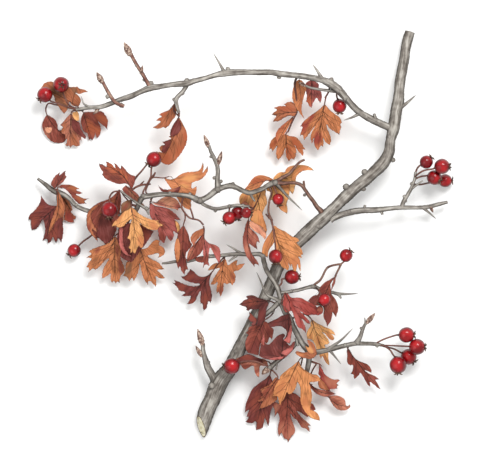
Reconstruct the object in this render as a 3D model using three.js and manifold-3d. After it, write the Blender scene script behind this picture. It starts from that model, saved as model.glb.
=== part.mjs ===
// A cut branch of hawthorn in autumn, lying down: a bent stem with thorny boughs, red haws on
// stalks and masses of lobed leaves. Millimetres, +Z up. The branch is laid out on a squared
// sheet seen from above, and every piece is given by where it crosses the squares, how high it
// lies above the ground and how thick it is.

import Module from 'manifold-3d';
import * as THREE from 'three';
import { mergeVertices } from 'three/addons/utils/BufferGeometryUtils.js';

// Driving dimensions, mm
const SQUARE = 0.65;               // side of one square of the layout sheet
const SHEET_MIDDLE = [240.25, 236.7];   // the square over the origin, x to the right and y down
const SEAT_GAP = 0.3;              // clearance where one piece is seated on another
const BLADE = 0.45;                // thickness of a leaf
const PETIOLE = 1.3;               // thickness of a leaf stalk
const STALK = 1.3;                 // thickness of a haw's stalk
const THORN_TIP = 0.5;             // thickness of a thorn at its point
const THORN_WAIST = 0.6;           // and where it bends, as a share of its root's
const SLIVER = 0.02;               // edges shorter than this are closed up
const CALYX_LENGTH = 1.7;          // the crown of withered sepals at the end of a haw
const CALYX_WIDTH = 1.3;           // its radius at the rim, twice that at its root
const CALYX_OUT = 0.35;            // how far its middle stands out from the haw
const BUD_SHAPE = [0.5, 1, 0.9, 0.5, 0.15];   // a bud's thickness along its length

// Steps of the bent tubes
const STEM_SIDES = 8;
const TWIG_SIDES = 5;
const THORN_SIDES = 4;
const STALK_SIDES = 3;
const STEP = 12;                   // mm at most between the rings of a tube
const HAW_SIDES = 8;
const HAW_RINGS = 5;
const SEPALS = 5;

// How leaves are drawn, as shares: a bay between two lobes is this deep for its width, and at
// most this far in towards the hub of the leaf, which lies this far along from base to middle
const BAY_DEPTH = 1.1;
const BAY_LIMIT = 0.55;
const HUB = 0.35;

const wasm = await Module();
wasm.setup();

// ---------------------------------------------------------------------------- shapes

const place = (x, y, z) =>
  new THREE.Vector3((x - SHEET_MIDDLE[0]) * SQUARE, (SHEET_MIDDLE[1] - y) * SQUARE, z);

function toSolid(geometry) {
  const bare = geometry.clone();
  bare.deleteAttribute('normal');
  bare.deleteAttribute('uv');
  const merged = mergeVertices(bare, 1e-4);
  return new wasm.Manifold(new wasm.Mesh({
    numProp: 3,
    vertProperties: new Float32Array(merged.attributes.position.array),
    triVerts: new Uint32Array(merged.index.array),
  }));
}

// The triangles of a solid, with the slivers of its joints and cuts closed up.
function toGeometry(solid) {
  const mesh = biggest(solid.simplify(SLIVER)).getMesh();
  const geometry = new THREE.BufferGeometry();
  geometry.setAttribute('position', new THREE.BufferAttribute(mesh.vertProperties, 3));
  geometry.setIndex(new THREE.BufferAttribute(mesh.triVerts, 1));
  return geometry;
}

// Fuse a list of solids into one body. Scraps that hang on nothing are dropped.
function fuse(solids) {
  const joined = solids.reduce((all, next) => all.add(next));
  return biggest(joined);
}

function biggest(solid) {
  return solid.decompose().sort((a, b) => b.volume() - a.volume())[0];
}

// A closed round bar through [x, y, height, thickness] points, tapering from each to the next.
function bar(route, sides = TWIG_SIDES, grow = 0) {
  const spots = route.map(([x, y, z]) => place(x, y, z));
  const last = spots.length - 1;
  const ends = [[0, 1], [last, last - 1]].map(([end, next]) =>
    spots[end].clone().sub(spots[next]).setLength(grow));
  spots[0].add(ends[0]);
  spots[last].add(ends[1]);
  const curve = new THREE.CatmullRomCurve3(spots, false, 'centripetal');
  const rows = Math.max(2, Math.ceil(curve.getLength() / STEP), route.length - 1);
  const frames = curve.computeFrenetFrames(rows, false);
  const geometry = new THREE.CylinderGeometry(1, 1, rows, sides, rows);
  const points = geometry.attributes.position;
  for (let i = 0; i < points.count; i += 1) {
    const row = Math.round(points.getY(i) + rows / 2);
    const along = curve.getUtoTmapping(row / rows);
    const stretch = along * (route.length - 1);
    const from = Math.min(Math.floor(stretch), route.length - 2);
    const thick = THREE.MathUtils.lerp(route[from][3], route[from + 1][3], stretch - from);
    const radius = thick / 2 + grow;
    const spot = curve.getPoint(along)
      .addScaledVector(frames.normals[row], points.getX(i) * radius)
      .addScaledVector(frames.binormals[row], -points.getZ(i) * radius);
    points.setXYZ(i, spot.x, spot.y, spot.z);
  }
  const solid = toSolid(geometry);
  return solid.volume() > 0 ? solid : toSolid(turnedOut(geometry));
}

function turnedOut(geometry) {
  const index = geometry.index.array;
  for (let i = 0; i < index.length; i += 3) {
    [index[i], index[i + 1]] = [index[i + 1], index[i]];
  }
  return geometry;
}

// A sharp thorn from a root to a tip, through a point that bends it.
const thorn = (root, bend, tip, thick) => ({
  route: [[...root, thick], [...bend, thick * THORN_WAIST], [...tip, THORN_TIP]],
});

// A plump pointed bud between two points.
function bud(root, tip, thick) {
  const last = BUD_SHAPE.length - 1;
  return {
    route: BUD_SHAPE.map((share, i) => [
      ...root.map((value, axis) => THREE.MathUtils.lerp(value, tip[axis], i / last)),
      thick * share,
    ]),
  };
}

// A leaf's outline on the sheet: out from the base round each lobe, with a bay between lobes.
function leafOutline(base, lobes) {
  const start = new THREE.Vector2(...base);
  const rim = lobes.map((lobe) => lobe.map(([x, y]) => new THREE.Vector2(x, y)));
  const middle = rim.flat().reduce((sum, point) => sum.add(point), new THREE.Vector2());
  const hub = start.clone().lerp(middle.divideScalar(rim.flat().length), HUB);
  const outline = [start];
  rim.forEach((lobe, i) => {
    if (i > 0) {
      const before = rim[i - 1][rim[i - 1].length - 1];
      const mouth = before.clone().lerp(lobe[0], 0.5);
      const reach = BAY_DEPTH * before.distanceTo(lobe[0]) / mouth.distanceTo(hub);
      outline.push(mouth.lerp(hub, Math.min(reach, BAY_LIMIT)));
    }
    outline.push(...lobe);
  });
  return { outline, hub };
}

// A thin blade over that outline, running down from its base height to its tip height, with
// its edges lifted or lowered by cup, and a stalk that runs on into the blade as its midrib.
function leaf({ stalk, base, heights, cup = 0, lobes }) {
  const { outline, hub } = leafOutline(base, lobes);
  const start = outline[0];
  const tip = outline.reduce((far, p) => (p.distanceTo(start) > far.distanceTo(start) ? p : far));
  const axis = tip.clone().sub(start);
  const length = axis.length();
  axis.normalize();
  const heightAt = (point) => {
    const run = point.clone().sub(start);
    const aside = Math.abs(run.cross(axis)) / length;
    return Math.max(0, THREE.MathUtils.lerp(...heights, run.dot(axis) / length) + 2 * cup * aside);
  };
  const flat = outline.map((p) => place(p.x, p.y, 0));
  const shape = new THREE.Shape(flat.map((p) => new THREE.Vector2(p.x, p.y)));
  const geometry = new THREE.ExtrudeGeometry(shape, { depth: BLADE, bevelEnabled: false });
  const points = geometry.attributes.position;
  for (let i = 0; i < points.count; i += 1) {
    const onSheet = new THREE.Vector2(
      points.getX(i) / SQUARE + SHEET_MIDDLE[0], SHEET_MIDDLE[1] - points.getY(i) / SQUARE);
    points.setZ(i, points.getZ(i) + heightAt(onSheet));
  }
  const rib = [start, hub].map((p) => [p.x, p.y, heightAt(p) + BLADE / 2, PETIOLE]);
  const lead = stalk.map((point) => [...point, PETIOLE]);
  return [toSolid(geometry), bar([...lead, ...rib], STALK_SIDES)];
}

// A haw: a round fruit turned about its axis, with a crown of withered sepals at its far end
// and a stalk to its twig. The crown points along `facing`.
function haw({ at, radius, facing, stalk }, grow = 0) {
  const size = radius * SQUARE + grow;
  const profile = [];
  for (let i = 0; i <= HAW_RINGS; i += 1) {
    const turn = (Math.PI * i) / HAW_RINGS;
    profile.push(new THREE.Vector2(Math.sin(turn) * size, -Math.cos(turn) * size));
  }
  profile[0].x = 0;
  profile[HAW_RINGS].x = 0;
  const toCrown = new THREE.Quaternion().setFromUnitVectors(
    new THREE.Vector3(0, 1, 0), new THREE.Vector3(...facing).normalize());
  const middle = place(...at);
  const body = new THREE.LatheGeometry(profile, HAW_SIDES);
  body.applyQuaternion(toCrown).translate(...middle);
  const way = [at, ...stalk].map((point) => [...point, STALK]);
  const pieces = [toSolid(body), bar(way, STALK_SIDES, grow)];
  if (grow > 0) return fuse(pieces);
  const crown = new THREE.CylinderGeometry(CALYX_WIDTH, CALYX_WIDTH / 2, CALYX_LENGTH, SEPALS);
  crown.translate(0, size + CALYX_OUT, 0);
  pieces.push(toSolid(crown.applyQuaternion(toCrown).translate(...middle)));
  return fuse(pieces);
}

// ---------------------------------------------------------------------------- limbs

// Every limb is a tapering bar with its thorns, buds and broken spurs fused on. `seats` names
// the limbs it grows from, which it meets face to face with a small clearance.
const STEM_ROUTE = [
  [195, 443, 5.4, 10], [205, 418, 5.6, 10.3], [213, 396, 6.6, 11.2], [221, 380, 7.6, 11.4],
  [229, 370, 8.2, 10], [237, 354, 9.4, 8.8], [254, 320, 12, 8.2], [273, 280, 14, 8.1],
  [278, 267, 14.4, 8.1], [290, 250, 15.2, 8.5], [304, 236, 16, 8.7], [325, 217, 16.8, 8.5],
  [342, 200, 17, 8], [373, 173, 16.5, 7.6], [384, 162, 16.1, 7.6], [389.5, 150, 16, 6.9],
  [390.5, 140, 16, 6.7], [393, 130, 15.5, 7.8], [397, 108, 14, 7.4], [400, 86, 11, 7],
  [404.5, 60, 7.3, 6.8], [410.5, 31, 3.7, 6.8],
];
// The stem is sawn off on a slant at its foot: a plane through a point, facing down and aside.
const SAWN_AT = [201.2, 427.8, 5.6];
const SAWN_FACING = [-0.82, -0.37, 0.44];

const LIMBS = [
  {
    name: 'main_stem', sides: STEM_SIDES, route: STEM_ROUTE,
    growths: [thorn([400, 108, 14], [408, 102, 14.5], [416, 95, 15], 2.8)],
  },
  {
    name: 'upper_bough_inner', seats: ['main_stem'],
    route: [[392, 128, 15.6, 5.2], [380, 123.5, 16.4, 4.9], [370, 118.5, 17.4, 5.2],
      [355, 108.5, 20, 4.5], [342, 94, 23.2, 5], [338.5, 90, 24, 5.4]],
    growths: [thorn([360, 113, 19], [352, 117.5, 19.5], [343.5, 120.5, 20], 2.4),
      { route: [[376, 121, 17, 2.4], [374, 114, 18.6, 1.8]] }],
  },
  {
    name: 'upper_bough_outer', seats: ['upper_bough_inner'],
    route: [[338.5, 90, 24, 5.4], [330, 84, 25, 5.1], [322, 80.5, 26, 4.2], [300, 76.5, 28.2, 4],
      [280, 74.5, 30, 4.2], [260, 73, 30.6, 4], [230, 73.5, 31, 4.6], [205, 79, 30, 3.4],
      [187, 84, 29, 4.4], [170, 85.5, 27.2, 3.1], [150, 88.5, 25, 4.4], [140, 92.5, 23.6, 3.6],
      [120, 100, 20.6, 3.3], [100, 107, 18, 2.9], [90, 107.5, 16.6, 2.6], [76, 109.5, 15, 1.8]],
    growths: [thorn([322, 80, 26], [318, 73, 27], [312.5, 65, 28], 3),
      thorn([225, 74, 31], [220, 65, 31.5], [213.5, 54, 31.5], 2.6),
      thorn([78, 109, 15.2], [76, 109, 15], [72, 108, 14.6], 1.8)],
  },
  {
    name: 'twig_red', fusedTo: 'upper_bough_outer',
    route: [[123, 106, 23.2, 2.6], [115, 102, 24, 2.6], [110, 95, 24, 2.4], [106, 88, 23.5, 2.2],
      [103, 82, 23, 2.2]],
    growths: [bud([103, 83, 23], [97, 72.5, 22.4], 4.2)],
  },
  {
    name: 'twig_budded', seats: ['upper_bough_outer'],
    route: [[149, 85, 25, 2.8], [142, 73, 26, 2.6], [138, 67, 26.4, 2.4], [134, 60, 26.6, 2.4],
      [131, 55, 26.8, 2.4]],
    growths: [bud([131, 56, 26.8], [124.5, 43, 26.6], 5),
      bud([141, 74, 26], [143, 66, 27.6], 2.4)],
  },
  {
    name: 'spur_grey', fusedTo: 'upper_bough_outer',
    route: [[187, 87, 27.5, 2.6], [178, 97, 26, 3], [176, 101, 25.6, 3.2], [177, 106, 25, 2.4],
      [179, 114, 24, 1.9]],
  },
  {
    name: 'twig_olive', fusedTo: 'upper_bough_inner',
    route: [[333, 92, 22, 1.8], [325, 90.5, 22.6, 1.7], [310, 88, 23.5, 1.7],
      [304, 85.5, 23.8, 1.6]],
    growths: [bud([306, 86.5, 23.7], [298, 82.5, 24], 2.6)],
  },
  {
    name: 'right_bough', seats: ['main_stem'],
    route: [[331, 219, 17, 4.6], [345, 213.5, 16.6, 4.2], [360, 210.5, 16, 3.9],
      [375, 210, 15, 3.9], [390, 208.5, 13.8, 3], [410, 207.5, 12, 2.7], [430, 206.5, 9, 2.7],
      [440, 204, 7.5, 2.6], [448, 202, 6, 2]],
    growths: [thorn([424, 208, 10], [430, 213, 8], [437, 219, 5], 2.2),
      { route: [[364, 210, 15.6, 2.4], [365, 205, 15.8, 1.6]] },
      { route: [[381, 210, 14.6, 2.4], [382.5, 214.8, 14.4, 1.6]] }],
  },
  {
    name: 'twig_hooked', fusedTo: 'right_bough',
    route: [[402, 206, 13, 2.6], [404, 201, 13.4, 2.6], [407, 196, 13.8, 2.4], [411, 189, 14.4, 2.2],
      [413, 184, 14.8, 2], [415, 178, 15.2, 1.9], [415.5, 172, 15.4, 1.7]],
    growths: [{ route: [[412, 188, 14.4, 1.6], [418, 184, 14.8, 1.3], [423, 180.5, 15, 0.9]] }],
  },
  {
    name: 'middle_bough_inner', seats: ['main_stem'],
    route: [[321, 211, 18, 3.8], [317, 207, 19.4, 3], [309, 196, 22, 2.6], [302, 186, 24, 2.3],
      [290, 183, 25.2, 2.2], [276, 183, 26, 4], [268, 185.5, 26.2, 3.4], [257, 191, 26.8, 3.2],
      [250, 193, 27, 3.2], [237, 188, 27, 3.2], [225, 187, 27, 3.5], [218, 189.5, 27, 4.4],
      [205, 198.5, 26.2, 3.8], [200, 200.5, 26, 4.6], [195, 199, 25.9, 4.2]],
    growths: [thorn([276, 184, 26], [288, 197, 28], [302, 210.5, 29], 2.6),
      { route: [[276, 181, 26, 2.4], [289, 174, 26, 2], [300, 162, 26, 1.7],
        [304.5, 160, 26, 1.5]] },
      { route: [[304, 187, 23.6, 1.6], [303.5, 181, 24.4, 1.2]] },
      { route: [[250, 193, 27, 1.8], [255, 201.5, 27.4, 1.2]] }],
  },
  {
    name: 'twig_hanging', fusedTo: 'middle_bough_inner',
    route: [[269, 186, 25.6, 1.6], [271.5, 193, 24.8, 1.6], [269.5, 200, 24.6, 1.5],
      [268.5, 213, 24.6, 1.6], [272, 221, 24.2, 1.6]],
    growths: [{ route: [[270, 219, 24.4, 1.4], [265.5, 214, 25, 1]] }],
  },
  {
    name: 'middle_bough_outer', seats: ['middle_bough_inner'],
    route: [[196, 199.2, 25.9, 3.9], [190, 196.5, 25.7, 3.5], [180, 195, 25.3, 3.2],
      [160, 194.5, 24.4, 3.2], [143, 197.5, 23, 3.4], [139, 204, 21, 3.4], [135, 211, 18.4, 3.2],
      [120, 215, 14, 3], [100, 214, 11.2, 2.9], [88, 211, 10.2, 2.9]],
  },
  {
    name: 'left_bough', seats: ['middle_bough_outer'],
    route: [[89, 211.3, 10.3, 2.9], [80, 208, 9.8, 2.9], [70, 199.5, 9.2, 2.8],
      [58, 192.5, 8.5, 3.6], [52, 190, 8, 3.2], [45, 184.5, 6.6, 2.8], [37, 178.5, 5, 1.9]],
  },
  {
    name: 'middle_bough_lower', seats: ['middle_bough_inner'],
    route: [[200, 201.5, 26, 2.6], [203, 204, 26, 2.4], [210, 207.5, 26, 2.3],
      [216, 209, 26, 2.4], [230, 206.5, 26, 2.3], [243, 206, 26.4, 2], [250, 206.6, 26.8, 1.6]],
  },
  {
    name: 'twig_tall', seats: ['middle_bough_inner'],
    route: [[218, 188, 27, 4.4], [217.5, 180, 27.4, 3.2], [218, 172, 27.6, 2.9],
      [217, 165, 27.6, 2.9], [214, 158, 27.4, 2.6], [211, 152, 27, 2.3], [209, 146, 26.6, 2.2]],
    growths: [bud([209, 147, 26.6], [204, 135, 26], 3.4),
      bud([218, 164, 27.8], [222, 151.5, 29], 3.4)],
  },
  {
    name: 'twig_pale', fusedTo: 'middle_bough_outer',
    route: [[121, 191, 25.4, 1.4], [130, 198, 24.8, 1.6], [137, 203, 23.6, 1.8],
      [141, 205.5, 22.4, 1.8], [147, 210, 22.6, 1.8], [148.5, 214, 22.6, 1.3]],
  },
  {
    name: 'lower_bough', seats: ['main_stem'],
    route: [[261, 316, 16, 3.4], [266, 314, 18.6, 3.2], [272, 309, 20.6, 3.2],
      [280, 301, 22, 4], [285, 312, 22, 3.9], [290, 319, 21.4, 3.9], [293, 326, 21, 3.6],
      [302, 343, 19.2, 3.9], [307.5, 350, 18, 4.2], [309, 358, 17, 3.6], [308, 366, 15.6, 3.2],
      [307, 372, 14, 3]],
    growths: [thorn([280, 301, 22.4], [267, 294, 24], [256.5, 272, 25], 2.6),
      thorn([272, 309, 20.6], [273, 311, 21.8], [273.5, 313.5, 22.6], 1.6),
      { route: [[296, 338, 20, 2.2], [298, 346, 19.6, 1.6]] }],
  },
  {
    name: 'lower_bough_left', seats: ['lower_bough'],
    route: [[280, 299, 22.2, 3.2], [278, 289, 22.6, 3.4], [275, 283, 22.8, 3.3],
      [270, 276, 22.8, 3.2], [264, 262, 22.6, 3.2], [262.5, 256, 22.4, 3], [259, 254, 22, 2.9],
      [250, 254.5, 21.2, 2.7], [230, 254.5, 20, 2.6], [209, 256.5, 18.6, 2.4],
      [192, 260, 17, 2.3], [176, 261.5, 15.4, 2.2], [162, 263.5, 14, 1.5]],
    growths: [thorn([242, 254, 20.8], [235, 249.5, 21.4], [226.5, 244.5, 21.6], 2.2),
      { route: [[237, 255.5, 20.4, 1.6], [228.5, 261.5, 20.4, 0.9]] }],
  },
  {
    name: 'twig_thorned', seats: ['lower_bough_left'],
    route: [[282.5, 292.5, 22.4, 2.4], [290, 291.5, 22.4, 2.3], [300, 289.5, 22, 2.3],
      [313, 286.5, 21.6, 2.8], [320, 289, 21, 2.3], [331, 292, 20, 2.2], [338, 294, 19.4, 2.4]],
    growths: [thorn([337, 293.8, 19.4], [347, 294, 18.6], [358, 293.5, 17.8], 2.2),
      { route: [[338, 294, 19.4, 1.8], [341, 298.5, 19.6, 1.2]] },
      { route: [[313, 286.5, 21.6, 1.8], [320, 280, 22.4, 1.5], [326, 269, 22.6, 1.5],
        [334, 265, 22, 1.4], [341, 264, 21.4, 1.4]] },
      { route: [[341, 264, 21.4, 1.4], [338, 270, 21.4, 1.3], [335, 276, 21.8, 1.3]] }],
  },
  {
    name: 'lower_right_bough', seats: ['lower_bough'],
    route: [[311, 352, 18, 3.4], [325, 350.5, 18, 3.2], [335, 348, 18, 3.2],
      [345, 345.5, 17.8, 2.9], [355, 343.5, 17.6, 2.9], [365, 343.5, 17.2, 2.6],
      [375, 344, 16.6, 2.3], [384, 345.5, 16, 1.8]],
    growths: [thorn([327, 350, 18.2], [341, 340, 19.6], [352.7, 328.3, 20.6], 2.4),
      thorn([330, 350.5, 18], [336, 358, 18.4], [341, 364, 18.6], 1.8)],
  },
  {
    name: 'twig_forked', fusedTo: 'lower_right_bough',
    route: [[357, 342, 17.8, 3.6], [360, 337, 18.2, 2.9], [362, 331, 18.6, 2.4],
      [364, 326, 19, 2], [366.5, 322, 19.2, 1.9]],
    growths: [bud([366, 323, 19.2], [375, 313, 19.6], 3.6),
      { route: [[365, 325, 19.2, 1.5], [364.5, 317.5, 19.8, 0.7]] }],
  },
  {
    name: 'twig_curled', seats: ['lower_bough'],
    route: [[297, 342, 18.8, 2.6], [290, 350, 17.6, 3], [282, 357, 16.6, 3.2],
      [275, 363, 16.1, 3.2], [270, 368, 16, 3.2]],
    growths: [bud([270, 368, 16.2], [262, 374.5, 17.6], 3.6),
      { route: [[277, 362, 16.4, 1.6], [276, 370, 17, 0.8]] }],
  },
  {
    name: 'twig_base', fusedTo: 'main_stem',
    route: [[213, 378, 9, 5], [208, 368, 10, 4.4], [206, 362, 10.4, 3.9], [204, 355, 10.6, 3.2],
      [203, 350, 10.6, 2.8], [203, 344, 10.6, 2.7]],
    growths: [bud([203, 345, 10.6], [197.5, 329, 10.6], 4.4),
      bud([202, 357, 10.8], [195.5, 346, 11.4], 3.2),
      { route: [[207, 364, 10.4, 2.4], [209, 362, 12.4, 1.6]] }],
  },
];

// ---------------------------------------------------------------------------- haws

// Every haw: where its middle lies, its radius in squares, which way its crown looks, and the
// way of its stalk to the limb that carries it.
const HAWS = [
  { at: [44.5, 94.5, 12], radius: 7.3, facing: [-1, -1, 0.3],
    stalk: [[50, 100.5, 13], [57, 103, 13.6], [64, 105.6, 14], [77, 109.5, 15]] },
  { at: [61, 84.5, 13], radius: 7.6, facing: [0.1, -0.1, 1],
    stalk: [[64, 96, 12], [70, 106, 12], [80, 108.6, 13.4], [82, 108.6, 15.6]] },
  { at: [154, 159.5, 24], radius: 7.2, facing: [-1, -1, 0.2],
    stalk: [[152, 167, 24.4], [151, 177, 25.4], [147, 185, 25.8], [143.5, 192, 25.4],
      [143, 197, 23.4]] },
  { at: [339.5, 106, 17], radius: 6.7, facing: [0, -1, 0.2],
    stalk: [[337.5, 99, 19], [336.5, 95, 21.6], [338, 90, 24]] },
  { at: [426.5, 162, 14], radius: 6.3, facing: [1, 1, 0.2],
    stalk: [[421, 165, 14.6], [417.5, 168, 15], [415.5, 173, 15.4]] },
  { at: [442, 166.5, 17], radius: 7.3, facing: [1, 0, 0.3],
    stalk: [[434, 168.5, 17], [424, 170.5, 17.4], [418, 174, 17.4], [415, 177, 15.6]] },
  { at: [434.5, 177.5, 12], radius: 7, facing: [1, -0.6, 0.7],
    stalk: [[428, 175.5, 12.8], [421, 176.5, 13.6], [415, 179, 14.8]] },
  { at: [446, 180.5, 3.95], radius: 6.3, facing: [1, 0, 0],
    stalk: [[438, 181, 4.6], [428, 183, 7.4], [420, 184.5, 11.4], [413, 184, 14.8]] },
  { at: [73.5, 250.5, 3.95], radius: 6.3, facing: [-1, -1, 0],
    stalk: [[77, 247, 5], [82, 242, 6.6], [92, 234.5, 8.6], [98, 225, 9.6], [99, 214, 11.2]] },
  { at: [109.5, 210, 22], radius: 7.7, facing: [0, -1, 0.4],
    stalk: [[110, 203, 22.4], [110, 197, 23.4], [114, 192, 25], [121.5, 191.4, 25.4]] },
  { at: [229, 218, 30], radius: 6.2, facing: [-1, -1, 0.4],
    stalk: [[229.5, 212, 28.8], [230, 206.5, 26]] },
  { at: [237.5, 213, 23.4], radius: 6.2, facing: [0, -1, -0.2],
    stalk: [[237.5, 208, 24.8], [238, 206, 26]] },
  { at: [246, 213, 30], radius: 5.2, facing: [1, -0.2, 0.3],
    stalk: [[250, 210.5, 29.4], [252, 208, 28], [248.5, 206.5, 26.8]] },
  { at: [278, 199.5, 27], radius: 5.5, facing: [0.2, -1, 0.2],
    stalk: [[277, 194, 28.2], [274.5, 189, 28.4], [272.5, 184, 26.4]] },
  { at: [275.5, 256.5, 28], radius: 6.7, facing: [0, -1, 0.3],
    stalk: [[275.5, 250, 28.4], [275, 243, 28], [273.5, 232, 26.8], [271.6, 220, 24.4]] },
  { at: [292, 277, 19], radius: 7, facing: [1, 0, 0.2],
    stalk: [[285, 278.5, 19.4], [282, 279, 20.4], [281.6, 283, 22], [277.4, 287.5, 22.7]] },
  { at: [231.5, 366, 20], radius: 7.7, facing: [-1, 0, 0.2],
    stalk: [[240, 362.5, 19.6], [247, 361, 19], [256, 361.5, 18.6], [264, 364.5, 18.4],
      [270.5, 367.4, 16.2]] },
  { at: [406.5, 335, 15], radius: 7.5, facing: [1, 0, 0.2],
    stalk: [[397, 335, 15.8], [390, 337, 16.6], [382, 340, 17.2], [375, 344, 16.6]] },
  { at: [417, 347, 16], radius: 7.7, facing: [1, 0, 0.3],
    stalk: [[409.5, 346.5, 16.4], [400, 346, 16.2], [392, 345.6, 16], [382.6, 345.4, 16.1]] },
  { at: [409, 357, 9], radius: 7.5, facing: [1, -1, 0.3],
    stalk: [[402, 353, 11], [394, 349, 12.8], [384, 346.5, 13.8], [377.5, 344.3, 16.4]] },
  { at: [398, 365, 15.5], radius: 8.2, facing: [0, -1, 0.3],
    stalk: [[394, 356, 17], [390, 350, 18.2], [385, 346.5, 18.4], [380, 344.8, 16.4]] },
  { at: [346, 255.5, 20], radius: 6.2, facing: [1, 1, 0.2],
    stalk: [[344, 261, 20.6], [340.6, 264.2, 21.4]] },
  { at: [324, 299.5, 28], radius: 6, facing: [-1, -1, 0.3],
    stalk: [[321.5, 295, 28], [318, 289.8, 26.4], [315.5, 287, 21.8]] },
];

// ---------------------------------------------------------------------------- leaves

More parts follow.
